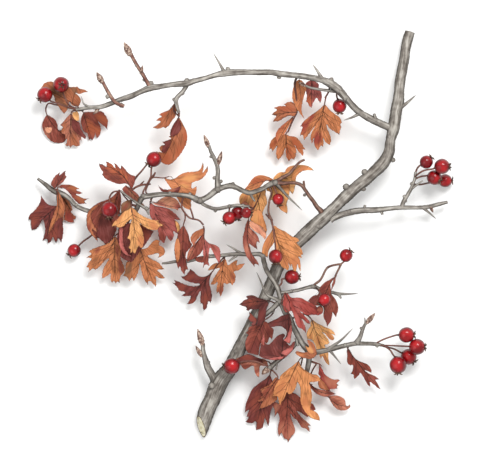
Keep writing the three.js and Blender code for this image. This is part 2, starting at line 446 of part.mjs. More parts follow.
// Every mass of leaves: the limb that carries it, the stem it springs from, and its leaves. A
// leaf has the way of its stalk from that stem, its base, its height at base and tip, and its
// lobes: the points of each lobe in turn as one goes round the rim from the base.
const MASSES = [
  {
    name: 'leaves_tip', seats: ['upper_bough_outer'], color: '#a05a34',
    stem: [[83, 109, 15.2, 1.8], [82.5, 110, 12, 1.8], [80.5, 110, 9.6, 1.6]],
    leaves: [
      { stalk: [[80.5, 109.5, 9.4]], base: [80, 106], heights: [9, 4.5],
        lobes: [[[88, 91.5], [76, 86]], [[60, 88], [47, 81.5], [41, 86]], [[63.5, 113.5]]] },
      { stalk: [[80, 110, 9], [66, 107, 6.4], [54, 104, 4.4], [47.5, 104, 3.6]],
        base: [46, 112], heights: [3, 0],
        lobes: [[[41.5, 125], [46, 136], [55, 142], [65, 138], [58, 131], [53, 119]]] },
      { stalk: [[80, 110.5, 9.2], [76, 111, 9.4]], base: [71, 116], heights: [9, 2.2],
        lobes: [[[60, 124.5]], [[65, 145.5], [69.5, 147.5], [79, 145], [80, 125]]] },
      { stalk: [[80, 110, 8.4]], base: [77, 112], heights: [6, 1.4],
        lobes: [[[73, 124], [79, 137], [84.5, 138.5], [83, 124]]] },
      { stalk: [[81, 110, 8.6]], base: [83, 112], heights: [8, 1],
        lobes: [[[103, 113], [107, 129]], [[96, 137.5]], [[91, 140], [88, 140], [80, 128]]] },
    ],
  },
  {
    name: 'leaves_spur', seats: ['upper_bough_outer'], color: '#c06a48',
    stem: [[179, 113, 24, 1.6], [179, 117, 23.2, 1.6]],
    leaves: [
      { stalk: [[178.5, 116, 23.2], [173, 112, 22]], base: [174, 105], heights: [22.4, 15.5],
        lobes: [[[159.5, 115]], [[156, 120.5]], [[153, 127.5], [166, 128], [173, 120]]] },
      { stalk: [[179, 116, 23]], base: [178, 119], heights: [22, 14],
        lobes: [[[183, 124], [187, 134], [187, 141], [184, 149], [178, 157], [168, 164.5],
          [158, 158], [160, 147], [162, 142], [169.5, 137], [171, 130]]] },
    ],
  },
  {
    name: 'leaves_upper_right', seats: ['upper_bough_outer', 'upper_bough_inner'],
    color: '#c4702c',
    stem: [[297, 77, 27.6, 1.9], [294.5, 84, 21, 1.8], [296, 95, 18.6, 1.7],
      [297, 111, 15, 1.6], [292, 122, 12.6, 1.5], [288, 132, 11.4, 1.4]],
    leaves: [
      { stalk: [[295, 84, 20.6]], base: [300, 81], heights: [20, 14.5],
        lobes: [[[293, 90], [292.5, 100], [297, 110], [304.5, 119], [301.5, 112], [303, 100],
          [306, 90]]] },
      { stalk: [[295.5, 90, 19.6], [304, 85, 19.4]], base: [312, 81], heights: [19, 15],
        lobes: [[[305, 92], [307, 101], [311.5, 108]], [[320.5, 103.5], [321.5, 96]]] },
      { stalk: [[297, 112.5, 15]], base: [297, 111], heights: [16.4, 10],
        lobes: [[[293, 102], [284.5, 103.5]], [[274, 107.5]], [[271.5, 114.5]],
          [[273.5, 121.5], [290, 116]]] },
      { stalk: [[296.5, 112, 15]], base: [294, 115], heights: [14.5, 12.5],
        lobes: [[[279, 128], [277, 142], [283, 134], [288, 127]]] },
      { stalk: [[289, 130, 11.6]], base: [286, 134], heights: [11, 4],
        lobes: [[[269.5, 149.5], [272.5, 151.5]], [[278.5, 160]], [[289, 161], [294, 159.5]],
          [[303, 155.5], [305.5, 149.5]]] },
    ],
  },
  {
    name: 'leaf_broad', seats: ['upper_bough_outer', 'upper_bough_inner'], color: '#cc7d33',
    stem: [[330, 84.5, 24, 1.5], [329, 90, 20.2, 1.5], [328, 93, 19.6, 1.5], [325, 98, 19.8, 1.4]],
    leaves: [
      { stalk: [[326, 96, 19.8]], base: [324.5, 104], heights: [19.6, 8], cup: 1,
        lobes: [[[300, 126.5], [300, 136], [304.5, 139.5]],
          [[311, 143.5], [318, 150], [322.5, 147], [330, 144.5]],
          [[339.5, 134.5], [342, 122.5]]] },
    ],
  },
  {
    name: 'leaves_left', seats: ['left_bough'], color: '#9a4630',
    stem: [[57, 192, 9.4, 2], [57, 191, 11.4, 1.8]],
    leaves: [
      { stalk: [[57, 191, 11.2]], base: [54, 188], heights: [11.2, 5],
        lobes: [[[51, 181], [59, 172]], [[65.5, 170.5], [66, 176.5], [62, 184]]] },
      { stalk: [[57, 191, 11]], base: [59, 188.5], heights: [11.3, 5],
        lobes: [[[70, 185], [79, 189]], [[82.5, 193]], [[89, 198.5]],
          [[86, 203.5], [77, 203], [70, 196]]] },
      { stalk: [[56.6, 192, 11], [56, 199, 9]], base: [57, 203], heights: [8, 0],
        lobes: [[[47, 204], [40.5, 195]], [[26.5, 219.5], [30.5, 230.5]],
          [[41.5, 241], [47, 243.5], [55.5, 243.5], [60.5, 242.5], [62, 225]]] },
      { stalk: [[57, 191.5, 11.4]], base: [58, 195], heights: [11.6, 3.4],
        lobes: [[[57, 204], [54, 214], [47.5, 234], [56, 224], [62, 222], [64, 210]]] },
      { stalk: [[57, 193, 10.8], [58, 198, 8]], base: [60, 200], heights: [6.6, 1],
        lobes: [[[75.5, 217.5], [73.5, 222.5]], [[63, 219]]] },
    ],
  },
  {
    name: 'leaves_centre_left', seats: ['middle_bough_outer', 'middle_bough_inner'],
    color: '#c58238',
    stem: [[138, 206, 20.4, 2], [134.5, 205.5, 21.6, 2], [132.5, 205, 22.4, 1.8]],
    leaves: [
      { stalk: [[132, 203, 22.4], [129, 190, 22.6], [134, 184, 22.6]], base: [135, 179],
        heights: [23, 20],
        lobes: [[[121.5, 165.5]], [[114, 162.5]], [[106, 161.5], [99, 163.5]],
          [[103, 174], [112, 182.5], [125, 184.5]]] },
      { stalk: [[132, 204, 22.4], [128, 194, 22.4]], base: [126, 188], heights: [22.6, 22.2],
        lobes: [[[122, 192], [130, 199], [136, 201], [134, 191]]] },
      { stalk: [[132, 204.5, 22.2], [125, 197, 18.6]], base: [118, 191], heights: [16.4, 12.4],
        lobes: [[[98, 201], [88, 212], [86.5, 222], [90, 232], [98, 242], [105.5, 244.5],
          [113, 238], [118, 220], [121, 203]]] },
      { stalk: [[132.5, 204.8, 22.6]], base: [131.5, 207], heights: [23.4, 26],
        lobes: [[[112, 226.5]], [[128.5, 248], [132, 254], [143, 247.5]],
          [[158.5, 229.5], [164, 225.5], [158, 221], [150, 220], [140, 215]]] },
      { stalk: [[133, 206, 22.4], [133.5, 213, 22]], base: [136, 222], heights: [21.6, 18],
        lobes: [[[117, 229], [118, 240], [121, 251], [127, 258], [131, 262], [145, 245],
          [148, 238], [154, 231]]] },
      { stalk: [[133, 214, 22], [126, 226, 18.6], [119, 233, 17]], base: [115, 236],
        heights: [16.6, 4],
        lobes: [[[88.5, 252.5], [85.5, 257.5], [86, 268], [87.5, 272.5], [95, 270]],
          [[101.5, 279], [112, 283], [115.5, 284], [119, 283], [124.5, 271]]] },
      { stalk: [[137, 226, 20.6], [138, 240, 16]], base: [138, 248], heights: [14, 3],
        lobes: [[[159.5, 240.5], [165, 250], [157.5, 258]],
          [[164, 269.5], [165, 278.5], [155.5, 287.5], [147, 285]],
          [[133.5, 281.5], [129, 281.5], [123, 275.5], [125, 267], [130, 261]]] },
    ],
  },
  {
    name: 'leaves_centre', seats: ['middle_bough_outer', 'middle_bough_inner'],
    color: '#c9763a',
    stem: [[153, 195.5, 23.4, 1.8], [152, 198, 21.4, 1.8], [151, 200, 20.4, 1.8]],
    leaves: [
      { stalk: [[152, 198, 21], [158, 190, 20.8], [163, 183, 21.2]], base: [167, 179.5],
        heights: [21.8, 20.4],
        lobes: [[[182, 174], [190, 172], [198, 171], [202.5, 162.5], [207.5, 166]],
          [[197, 187], [195, 195.5]], [[190, 208], [179, 201], [170, 190]]] },
      { stalk: [[152.5, 197.5, 21], [156, 192, 20.4]], base: [158, 188], heights: [20.4, 20.4],
        lobes: [[[170, 188], [181, 186], [175, 193], [165, 192]]] },
      { stalk: [[151.5, 200, 20.4]], base: [151, 203], heights: [20.6, 16],
        lobes: [[[160, 199], [170, 197.5], [177, 201], [181, 207], [178, 210], [168, 206],
          [158, 206]]] },
      { stalk: [[151, 201, 20]], base: [150, 204], heights: [19.6, 8],
        lobes: [[[160, 206], [170, 208], [181, 220.5]], [[177.5, 233.5]], [[171, 242]],
          [[164.5, 243.5], [160, 239], [151, 219]]] },
    ],
  },
  {
    name: 'leaves_hanging', seats: ['middle_bough_outer', 'middle_bough_inner'],
    color: '#a84a3a',
    stem: [[184, 196, 25.4, 1.6], [183, 203, 26, 1.5], [182, 208, 25.8, 1.5], [183, 213, 25, 1.4],
      [188, 217.5, 24.6, 1.4], [200, 221, 24.4, 1.4], [203.5, 226, 24.2, 1.4]],
    leaves: [
      { stalk: [[183, 213, 25], [184.5, 220, 23.8]], base: [183, 227], heights: [22.8, 16],
        lobes: [[[175, 243], [175, 258], [178.5, 269]], [[184, 275.5], [188, 271.5],
          [189, 240]]] },
      { stalk: [[203.2, 225, 24.2]], base: [203.5, 228], heights: [24, 21.5],
        lobes: [[[193, 235], [190.5, 239], [194, 246.5], [201, 237]]] },
      { stalk: [[203.5, 226, 24.2]], base: [203, 232], heights: [24, 20],
        lobes: [[[195, 244], [188, 250], [187, 262], [193, 260], [200, 252], [204, 247]]] },
      { stalk: [[203.5, 226, 24.2], [204.5, 233, 24]], base: [206, 241], heights: [23.8, 20.6],
        lobes: [[[203.5, 268.5], [208.5, 266]], [[219, 264], [220.5, 256], [215, 245]]] },
    ],
  },
  {
    name: 'leaves_lower_left', seats: ['lower_bough_left'], color: '#b8603a',
    stem: [[225, 255.5, 19.6, 1.7], [224, 258.5, 17.6, 1.7]],
    leaves: [
      { stalk: [[224.5, 257.5, 17.8]], base: [225, 260], heights: [17.4, 8],
        lobes: [[[207.5, 270.5]], [[210.5, 284.5]], [[216.5, 294.5], [220, 297.5]],
          [[232, 285.5], [236, 277]], [[245, 263.5], [237.5, 260]]] },
      { stalk: [[223.5, 259, 17.2], [218, 264, 16.2], [212, 271, 15.4]], base: [209, 277],
        heights: [15, 5],
        lobes: [[[190, 269], [180.5, 276]],
          [[173.5, 280], [171.5, 283], [181, 296], [186.5, 305]],
          [[200, 304], [203.5, 311], [211, 303]]] },
    ],
  },
  {
    name: 'leaves_fork', seats: ['middle_bough_inner', 'main_stem'], color: '#c87230',
    stem: [[272, 184, 25, 2], [272, 183.5, 22.6, 2], [271.5, 183.5, 20.8, 1.9]],
    leaves: [
      { stalk: [[271, 183.5, 21]], base: [270, 181], heights: [21, 20],
        lobes: [[[260, 175], [253, 177.5], [247, 184.5], [244, 189.5], [262, 185]]] },
      { stalk: [[271, 184, 20.8], [262, 187.5, 20.2]], base: [256, 188], heights: [20, 18.6],
        lobes: [[[241, 195], [239.5, 202], [249, 206], [248.5, 219], [266, 232.5],
          [265.5, 224], [263, 214], [265.5, 205], [267.5, 198], [265, 191]]] },
      { stalk: [[262, 190, 20], [256, 204, 19.6], [250, 214, 19.8]], base: [248.5, 219],
        heights: [20.8, 25],
        lobes: [[[244.5, 231], [243, 239], [244, 247], [247, 255], [254.5, 267], [259, 265.5]],
          [[257.3, 249.5], [260, 242.3]], [[264.5, 237]]] },
      { stalk: [[272, 183.5, 21]], base: [273, 181], heights: [21, 20.6],
        lobes: [[[281, 172], [287, 168.5], [295, 165], [303, 165.2], [313.5, 170.8]],
          [[293, 194]], [[287, 214], [278, 206.5], [273.5, 196]]] },
    ],
  },
  {
    name: 'leaves_drooping', seats: ['middle_bough_inner', 'main_stem', 'lower_bough_left'],
    color: '#cf8038',
    stem: [[271, 219.5, 24.4, 1.6], [272.5, 225, 23.6, 1.6]],
    leaves: [
      { stalk: [[272.2, 224, 23.6]], base: [272.5, 227], heights: [23.4, 20.6],
        lobes: [[[267, 238], [266, 246], [267, 254], [270, 258]],
          [[281.5, 266.5], [287.5, 269.5]], [[293, 269.3], [296, 269]], [[300.5, 270.5]],
          [[302, 257.5], [303, 254.5]], [[299, 241], [288, 235], [279, 229.5]]] },
    ],
  },
  {
    name: 'leaves_junction', seats: ['lower_bough', 'lower_bough_left', 'main_stem'],
    color: '#8f4238',
    stem: [[279, 303, 21, 2.2], [277, 303.5, 19.2, 2.2], [275, 304, 18.6, 2]],
    leaves: [
      { stalk: [[275.5, 303.5, 19]], base: [268, 300.5], heights: [19.4, 18.4],
        lobes: [[[256, 296], [251, 295], [246.5, 296.5]], [[239.3, 304.3]],
          [[248.5, 310.7], [257, 309.5]]] },
      { stalk: [[275.5, 304, 18.6], [274.6, 309, 17.2], [271.5, 315, 17]], base: [266, 321],
        heights: [17.2, 16.6],
        lobes: [[[255, 324.5], [244.5, 333]], [[246, 342], [246.5, 350], [249.5, 353.5]],
          [[268, 343.5], [271.8, 339.5], [273.5, 331], [271.5, 326]]] },
    ],
  },
  {
    name: 'leaves_over', seats: ['lower_bough', 'lower_bough_left', 'twig_thorned'],
    color: '#a23a34',
    stem: [[281, 303, 22.6, 2.2], [281.5, 303, 25.4, 2]],
    leaves: [
      { stalk: [[281.5, 303.5, 25.2], [286, 309, 25.2]], base: [289, 314], heights: [25, 23],
        lobes: [[[280, 317.5], [274, 320.5], [268, 323.5]],
          [[277, 326], [282, 326.5], [286, 332]], [[283.5, 339], [290.5, 345], [291.5, 327]]] },
      { stalk: [[281.5, 302, 25.4], [283, 297, 25.6]], base: [284.5, 293], heights: [25.8, 23.2],
        lobes: [[[289, 297], [301, 297.7], [311, 304], [322.5, 308], [317, 315]],
          [[310, 324]], [[305.8, 332.5], [297, 326], [292.5, 315], [286, 311], [282.3, 303]]] },
    ],
  },
  {
    name: 'leaf_folded', seats: ['twig_curled', 'lower_bough'], color: '#93433a',
    stem: [[283, 356, 17, 1.8], [281.5, 355, 19.8, 1.7]],
    leaves: [
      { stalk: [[281.5, 355.5, 19.8]], base: [281, 358.5], heights: [20.8, 18.8],
        lobes: [[[270, 359.5], [260, 356], [269, 344.5], [277, 336.5], [283, 333.5]],
          [[295.3, 341.5], [291, 350.5]]] },
    ],
  },
  {
    name: 'leaves_curled', seats: ['twig_curled', 'main_stem'], color: '#a5502f',
    stem: [[271, 367.5, 15.6, 1.9], [271.5, 369, 13.4, 1.9], [271, 371, 12.6, 1.7]],
    leaves: [
      { stalk: [[271.2, 368.5, 13], [270, 363, 13.6]], base: [268, 359.5], heights: [14.2, 14],
        lobes: [[[259.2, 377.5]], [[245, 369.5], [241, 367.5], [234, 360], [243, 355.5],
          [250, 354]]] },
      { stalk: [[271.5, 369.5, 13.2], [275, 373, 13.2]], base: [278, 378], heights: [13, 6],
        lobes: [[[260.5, 391], [258, 401.7], [259.7, 409.5]], [[276, 401.5]]] },
      { stalk: [[271, 370, 12.6]], base: [270, 376], heights: [11.6, 0],
        lobes: [[[258, 385], [251, 391.5], [246, 404.5], [245.3, 413], [247, 417.5],
          [245.6, 422.7], [256.3, 431], [262.5, 428.5]], [[268.7, 427], [272, 408],
          [273, 384]]] },
    ],
  },
  {
    name: 'leaf_dark', seats: ['twig_thorned'], color: '#8e2f2c',
    stem: [[336, 275, 21.6, 1.4], [334, 279, 22.6, 1.5]],
    leaves: [
      { stalk: [[334.5, 278, 22.6]], base: [334, 281], heights: [22.8, 22.5],
        lobes: [[[325, 284], [320, 291], [308, 302.5], [313, 306]], [[327.3, 326.3]],
          [[335.5, 317], [337.3, 306], [334, 291]]] },
    ],
  },
  {
    name: 'leaf_yellow', seats: ['lower_bough', 'lower_right_bough'], color: '#d39a4c',
    stem: [[291, 319, 20.6, 1.7], [297, 316, 17, 1.5], [304, 314, 15, 1.4], [309, 316, 14.4, 1.4]],
    leaves: [
      { stalk: [[308, 315.5, 14.4]], base: [311.5, 320], heights: [14, 5],
        lobes: [[[320, 325.5], [328, 328.5], [335, 335], [334, 340]],
          [[329.5, 343], [329.3, 365], [321, 358.5]], [[307.5, 338.5], [307, 331]]] },
    ],
  },
  {
    name: 'leaf_orange', seats: ['lower_bough', 'lower_right_bough'], color: '#cc6f2e',
    stem: [[308.5, 351, 19, 1.7], [311, 353, 22.2, 1.6]],
    leaves: [
      { stalk: [[309.8, 352, 21.2]], base: [314, 355], heights: [23, 21.4],
        lobes: [[[303, 357], [295.3, 351.5]], [[306.3, 345.5]],
          [[310.3, 340.8], [314, 346], [316.8, 352]]] },
    ],
  },
  {
    name: 'leaves_bottom', seats: ['lower_bough'], color: '#d1913f',
    stem: [[306.5, 352.5, 18.4, 1.8], [302.5, 356.5, 19.8, 1.7]],
    leaves: [
      { stalk: [[303.5, 355.5, 19.6]], base: [298, 361], heights: [19.6, 12],
        lobes: [[[286, 372], [279.5, 377.5], [273, 397.3], [280.3, 405.8], [288.5, 395]],
          [[300.5, 395], [305, 411], [319.5, 421], [314, 411], [311.5, 400]],
          [[320.5, 380.5], [313, 374], [302, 368]]] },
      { stalk: [[303, 356, 19.2], [300, 368, 14], [294, 382, 9.8]], base: [289, 390],
        heights: [9, 0],
        lobes: [[[274.6, 417.3]], [[279.6, 437.7], [284.7, 440.3], [288.5, 444], [295, 433.5]],
          [[310, 432.5], [311, 426.7]], [[308, 417.5], [316, 410], [300, 397.5]]] },
    ],
  },
  {
    name: 'leaves_salmon', seats: ['lower_bough', 'lower_right_bough'], color: '#b75f4c',
    stem: [[310, 361, 16.2, 1.7], [314, 362.5, 14.8, 1.6], [317, 363.5, 14.2, 1.5]],
    leaves: [
      { stalk: [[316, 363.2, 14.2]], base: [319.5, 365], heights: [14, 6],
        lobes: [[[318, 375], [318, 383], [321, 390], [331, 391.5]],
          [[337.5, 388.5], [338.8, 385.5], [340, 380.8], [332, 379.3], [324, 372]]] },
      { stalk: [[316.6, 363.6, 14], [311.5, 373, 11.6]], base: [309.5, 383], heights: [10, 8],
        lobes: [[[320, 388], [330, 391.7], [336, 394.3], [326, 397.7], [319, 396],
          [313, 391]]] },
      { stalk: [[318, 390, 9.2], [323, 394, 8.2]], base: [328.5, 398], heights: [7.4, 4],
        lobes: [[[337, 396.5], [342, 399], [346, 404], [350.5, 405.5], [346.5, 410.5],
          [342, 411.2], [337, 410], [332, 404]]] },
    ],
  },
  {
    name: 'leaf_right', seats: ['lower_right_bough'], color: '#8a2f30',
    stem: [[348, 345.5, 17.2, 1.7], [347.8, 348, 15, 1.6]],
    leaves: [
      { stalk: [[347.6, 347.6, 15]], base: [347.5, 350], heights: [14.4, 5],
        lobes: [[[347.5, 357], [351, 366]], [[351.6, 374.5], [355, 379.3]], [[370.5, 387]],
          [[381, 390.3], [379.4, 379.5]],
          [[371.8, 372.4], [365, 364], [358, 361.5], [353, 357.5]]] },
    ],
  },
];

// ---------------------------------------------------------------------------- the branch

const BARK = { color: '#9b948a', roughness: 0.85 };
const FOLIAGE = { roughness: 0.7 };
const HAW_SKIN = { color: '#a3141c', roughness: 0.3 };

const branch = new THREE.Group();

function addNode(name, solid, look) {
  const mesh = new THREE.Mesh(
    toGeometry(solid), new THREE.MeshStandardMaterial({ metalness: 0, ...look }));
  mesh.name = name;
  branch.add(mesh);
}

// A limb with everything that is fused on it, or the same a little thicker, to clear others by.
function limbSolid(name, grow = 0) {
  const own = LIMBS.filter((limb) => limb.name === name || limb.fusedTo === name);
  const bars = own.flatMap((limb) => [
    bar(limb.route, limb.sides, grow),
    ...(limb.growths ?? []).map((growth) => bar(growth.route, THORN_SIDES, grow)),
  ]);
  return fuse(bars);
}

function sawnOff(solid) {
  const facing = new THREE.Vector3(...SAWN_FACING).normalize();
  const away = facing.clone().negate();
  return solid.trimByPlane(away.toArray(), away.dot(place(...SAWN_AT)));
}

const limbNames = LIMBS.filter((limb) => !limb.fusedTo).map((limb) => limb.name);
const thickened = new Map(limbNames.map((name) => [name, limbSolid(name, SEAT_GAP)]));
const clearOf = (solid, names) =>
  biggest(names.reduce((rest, name) => rest.subtract(thickened.get(name)), solid));

LIMBS.filter((limb) => !limb.fusedTo).forEach(({ name, seats = [] }) => {
  const solid = clearOf(limbSolid(name), seats);
  addNode(name, name === 'main_stem' ? sawnOff(solid) : solid, BARK);
});

HAWS.forEach((spec, i) => {
  const number = String(i + 1).padStart(2, '0');
  addNode(`haw_${number}`, clearOf(haw(spec), limbNames), HAW_SKIN);
});

// A mass of leaves is cut clear of every limb and haw that it would touch.
const thickHaws = HAWS.map((spec) => haw(spec, SEAT_GAP));
MASSES.forEach(({ name, stem, leaves, color }) => {
  const whole = fuse([bar(stem), ...leaves.flatMap(leaf)]);
  const clear = thickHaws.reduce((rest, one) => rest.subtract(one), clearOf(whole, limbNames));
  addNode(name, biggest(clear), { color, ...FOLIAGE });
});

export default branch;
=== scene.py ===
# %% [markdown]
# # A cut branch of hawthorn in autumn
# The branch lies on a pale table and is looked down on. It has a bent grey stem that was sawn
# off on a slant, boughs with thorns and buds, red haws on stalks, and lobed leaves in autumn
# colours. The frame already holds every part as a plain solid at its real size. This lesson
# grows the same parts again with finer skins: bark with relief, leaves with teeth and veins,
# and haws with a shine and a crown of withered sepals.

# %% Load the frame
import math
import random

import bmesh
import bpy
from mathutils import Matrix, Vector, geometry, noise


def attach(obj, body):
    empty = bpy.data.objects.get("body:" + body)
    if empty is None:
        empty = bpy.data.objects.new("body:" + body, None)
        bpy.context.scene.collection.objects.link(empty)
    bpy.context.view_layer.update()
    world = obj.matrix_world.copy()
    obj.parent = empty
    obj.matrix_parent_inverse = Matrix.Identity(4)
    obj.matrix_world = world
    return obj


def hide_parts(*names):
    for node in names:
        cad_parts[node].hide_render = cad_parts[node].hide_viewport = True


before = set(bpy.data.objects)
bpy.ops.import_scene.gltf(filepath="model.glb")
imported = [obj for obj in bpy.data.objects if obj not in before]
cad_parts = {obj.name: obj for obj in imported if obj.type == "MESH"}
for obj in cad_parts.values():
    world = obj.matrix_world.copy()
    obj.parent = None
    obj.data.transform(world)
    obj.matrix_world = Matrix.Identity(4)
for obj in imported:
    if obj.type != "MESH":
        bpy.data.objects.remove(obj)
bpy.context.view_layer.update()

# %% [markdown]
# ## The layout sheet
# A branch has no straight edges to measure from, so it is laid out on a squared sheet, as a
# botanist would draw it. Every place is a square of that sheet, with x to the right and y
# down, and a height above the table in mm. One function turns that into metres. The other
# choice, metres typed in by hand, would make each bend hard to read and to change. Ways and
# outlines are long, so they are written as text: the numbers of a place stand apart by blanks,
# and a comma parts it from the next place.

# %% The sheet
MM = 0.001
SQUARE = 0.65                      # mm to one square
SHEET_WIDE = 480                   # squares from left to right
SHEET_MIDDLE = (240.25, 236.7)     # the square that lies over the origin


def place(x, y, z=0.0):
    """A square of the sheet, and a height in mm, as a point in metres."""
    across = (x - SHEET_MIDDLE[0]) * SQUARE
    up = (SHEET_MIDDLE[1] - y) * SQUARE
    return Vector((across, up, z)) * MM


def on_sheet(spot):
    """The same the other way: a point in metres as a square of the sheet and a height in mm."""
    across = spot.x / MM / SQUARE + SHEET_MIDDLE[0]
    down = SHEET_MIDDLE[1] - spot.y / MM / SQUARE
    return across, down, spot.z / MM


def spots(text):
    """Read "x y z, x y z" as a list of places."""
    return [tuple(float(part) for part in item.split()) for item in text.split(",")]


print("left and right ends of the sheet, m:", place(0, 0).x, place(SHEET_WIDE, 0).x)

# %% [markdown]
# ## The camera, the table and the light
# The branch lies down, so the camera hangs straight above it. A long lens far away keeps the
# branch free of perspective, as on a flat drawing. The table is a large plain plane. Soft
# light comes from a big area light beyond the tip and a pale sky, because a hard lamp
# would bury the lower leaves in shade.

# %% Camera and light
LENS = 350                         # mm
SENSOR = 36                        # mm
VIEW_WIDE = SHEET_WIDE * SQUARE * MM
VIEW_HEIGHT = 16 * MM              # measured where most of the leaves lie
VIEW_MIDDLE = (240, 235)           # the square under the camera
VIEW_FAR = 20                      # m, how far the camera sees
WINDOW = {"spot": (0.4, 0.9, 1.2), "power": 20, "size": 0.65}
FILL = {"spot": (-0.9, -0.4, 1.2), "power": 5, "size": 1.2}
SKY_STRENGTH = 0.74

camera_data = bpy.data.cameras.new("camera_above")
camera_data.lens = LENS
camera_data.sensor_width = SENSOR
camera_data.clip_end = VIEW_FAR
camera = bpy.data.objects.new("camera_above", camera_data)
camera.location = place(*VIEW_MIDDLE) + Vector((0, 0, VIEW_WIDE * LENS / SENSOR + VIEW_HEIGHT))
bpy.context.collection.objects.link(camera)
bpy.context.scene.camera = camera


def soft_light(name, spot, power, size):
    """An area light that faces the origin."""
    data = bpy.data.lights.new(name, "AREA")
    data.energy = power
    data.size = size
    light = bpy.data.objects.new(name, data)
    light.location = spot
    light.rotation_euler = (-Vector(spot)).to_track_quat("-Z", "Y").to_euler()
    bpy.context.collection.objects.link(light)


soft_light("light_window", **WINDOW)
soft_light("light_fill", **FILL)

sky = bpy.data.worlds.new("sky")
sky.use_nodes = True
sky.node_tree.nodes["Background"].inputs["Color"].default_value = (1, 1, 1, 1)
sky.node_tree.nodes["Background"].inputs["Strength"].default_value = SKY_STRENGTH
bpy.context.scene.world = sky
bpy.context.scene.view_settings.view_transform = "Standard"
print("camera height, m:", round(camera.location.z, 3))

# %% [markdown]
# ## Finishes
# Every finish is made of nodes that read Object coordinates, so it has its real scale and
# does not slide. One helper builds the usual chain: a noise mixes three tones into the base
# colour, and a fine noise drives the bump. Bark and leaves also have a grain. Each bar and each
# blade carries it on its points, as a place that is counted quickly across the grain and slowly
# along it, so a noise that reads it is drawn out into streaks. An image of bark would be
# quicker, but it would stretch at each fork.

# %% A helper for mottled finishes
RELIEF_DEEP = 0.4 * MM             # of the bump that every finish has
RAMP_ENDS = (0.38, 0.62)           # where the noise has the first and the last tone


def mottled(name, tones, blotch, fine, rough, bump, coat=0.0, streaks=0.0, overlays=()):
    """A finish of three tones in blotches (per metre) with a fine relief. Streaks are the share
    of the pattern that follows the grain. Overlays are tones laid on where an attribute says."""
    material = bpy.data.materials.new(name)
    material.use_nodes = True
    nodes = material.node_tree.nodes
    links = material.node_tree.links
    skin = nodes["Principled BSDF"]
    skin.inputs["Roughness"].default_value = rough
    skin.inputs["Specular IOR Level"].default_value = 0.3
    skin.inputs["Coat Weight"].default_value = coat
    skin.inputs["Coat Roughness"].default_value = 0.18
    where = nodes.new("ShaderNodeTexCoord")

    def noisy(scale, detail):
        texture = nodes.new("ShaderNodeTexNoise")
        texture.inputs["Scale"].default_value = scale
        texture.inputs["Detail"].default_value = detail
        links.new(where.outputs["Object"], texture.inputs["Vector"])
        return texture.outputs["Fac"]

    def with_grain(pattern):
        if not streaks:
            return pattern
        grain = nodes.new("ShaderNodeAttribute")
        grain.attribute_name = "grain"
        texture = nodes.new("ShaderNodeTexNoise")
        texture.inputs["Scale"].default_value = 1
        texture.inputs["Detail"].default_value = 3
        links.new(grain.outputs["Vector"], texture.inputs["Vector"])
        blend = nodes.new("ShaderNodeMix")
        blend.inputs["Factor"].default_value = streaks
        links.new(pattern, blend.inputs[2])
        links.new(texture.outputs["Fac"], blend.inputs[3])
        return blend.outputs[0]

    ramp = nodes.new("ShaderNodeValToRGB")
    stops = ramp.color_ramp.elements
    stops[0].position, stops[1].position = RAMP_ENDS
    stops.new(0.5)
    for stop, tone in zip(stops, tones):
        stop.color = (*tone, 1)
    links.new(with_grain(noisy(blotch, 5)), ramp.inputs["Fac"])
    colour = ramp.outputs["Color"]
    for attribute, tone in overlays:
        share = nodes.new("ShaderNodeAttribute")
        share.attribute_name = attribute
        blend = nodes.new("ShaderNodeMix")
        blend.data_type = "RGBA"
        links.new(share.outputs["Fac"], blend.inputs["Factor"])
        links.new(colour, blend.inputs[6])
        blend.inputs[7].default_value = (*tone, 1)
        colour = blend.outputs[2]
    links.new(colour, skin.inputs["Base Color"])
    relief = nodes.new("ShaderNodeBump")
    relief.inputs["Strength"].default_value = bump
    relief.inputs["Distance"].default_value = RELIEF_DEEP
    links.new(with_grain(noisy(fine, 3)), relief.inputs["Height"])
    links.new(relief.outputs["Normal"], skin.inputs["Normal"])
    return material

# %% [markdown]
# ## Bark, wood, buds and haws
# Old hawthorn bark is light grey with olive and brown flecks, and this year's wood is red
# brown and smooth. Both get painted shade on their flanks, so they are darker than the top:
# each bar carries on its points how far they face aside. The sawn end shows cream wood. Buds
# have dark scales with pale edges. A haw has a thin waxy skin, so its finish gets a coat that
# gives small bright highlights, and its lower side gets painted shade.

# %% Finishes of the wood and the fruit
# Painted shade: bark and stalks darken towards this tone where their points face aside or down, as the
# flank attribute says.
painted_flank_shade = [("flank", (0.030, 0.024, 0.018))]
bark = mottled("bark_grey", [(0.11, 0.093, 0.078), (0.28, 0.252, 0.222), (0.50, 0.47, 0.42)],
               240, 1500, 0.85, 0.9, streaks=0.62, overlays=painted_flank_shade)
bark_red = mottled("bark_red", [(0.10, 0.032, 0.025), (0.20, 0.085, 0.062), (0.34, 0.20, 0.145)],
                   300, 1600, 0.65, 0.5, streaks=0.5, overlays=painted_flank_shade)
stalk_skin = mottled("stalk_red_brown",
                     [(0.07, 0.018, 0.013), (0.15, 0.045, 0.032), (0.25, 0.10, 0.07)],
                     300, 1500, 0.6, 0.3, streaks=0.5, overlays=painted_flank_shade)
bud_scale = mottled("bud_scales", [(0.08, 0.04, 0.03), (0.24, 0.14, 0.105), (0.50, 0.39, 0.31)],
                    700, 1800, 0.55, 0.6)
sawn_wood = mottled("wood_sawn", [(0.54, 0.48, 0.29), (0.68, 0.63, 0.44), (0.76, 0.73, 0.56)],
                    420, 1800, 0.75, 0.5)
# The flank overlay paints shade on the lower side of each haw.
haw_skin = mottled("haw_skin", [(0.17, 0.0, 0.002), (0.31, 0.001, 0.004), (0.42, 0.006, 0.009)],
                   140, 900, 0.5, 0.12, coat=0.7, overlays=[("flank", (0.035, 0.0, 0.002))])
haw_skin.node_tree.nodes["Principled BSDF"].inputs["Specular IOR Level"].default_value = 0.08
calyx_skin = mottled("calyx_brown", [(0.03, 0.015, 0.01), (0.08, 0.04, 0.025), (0.2, 0.12, 0.08)],
                     500, 1500, 0.8, 0.6)

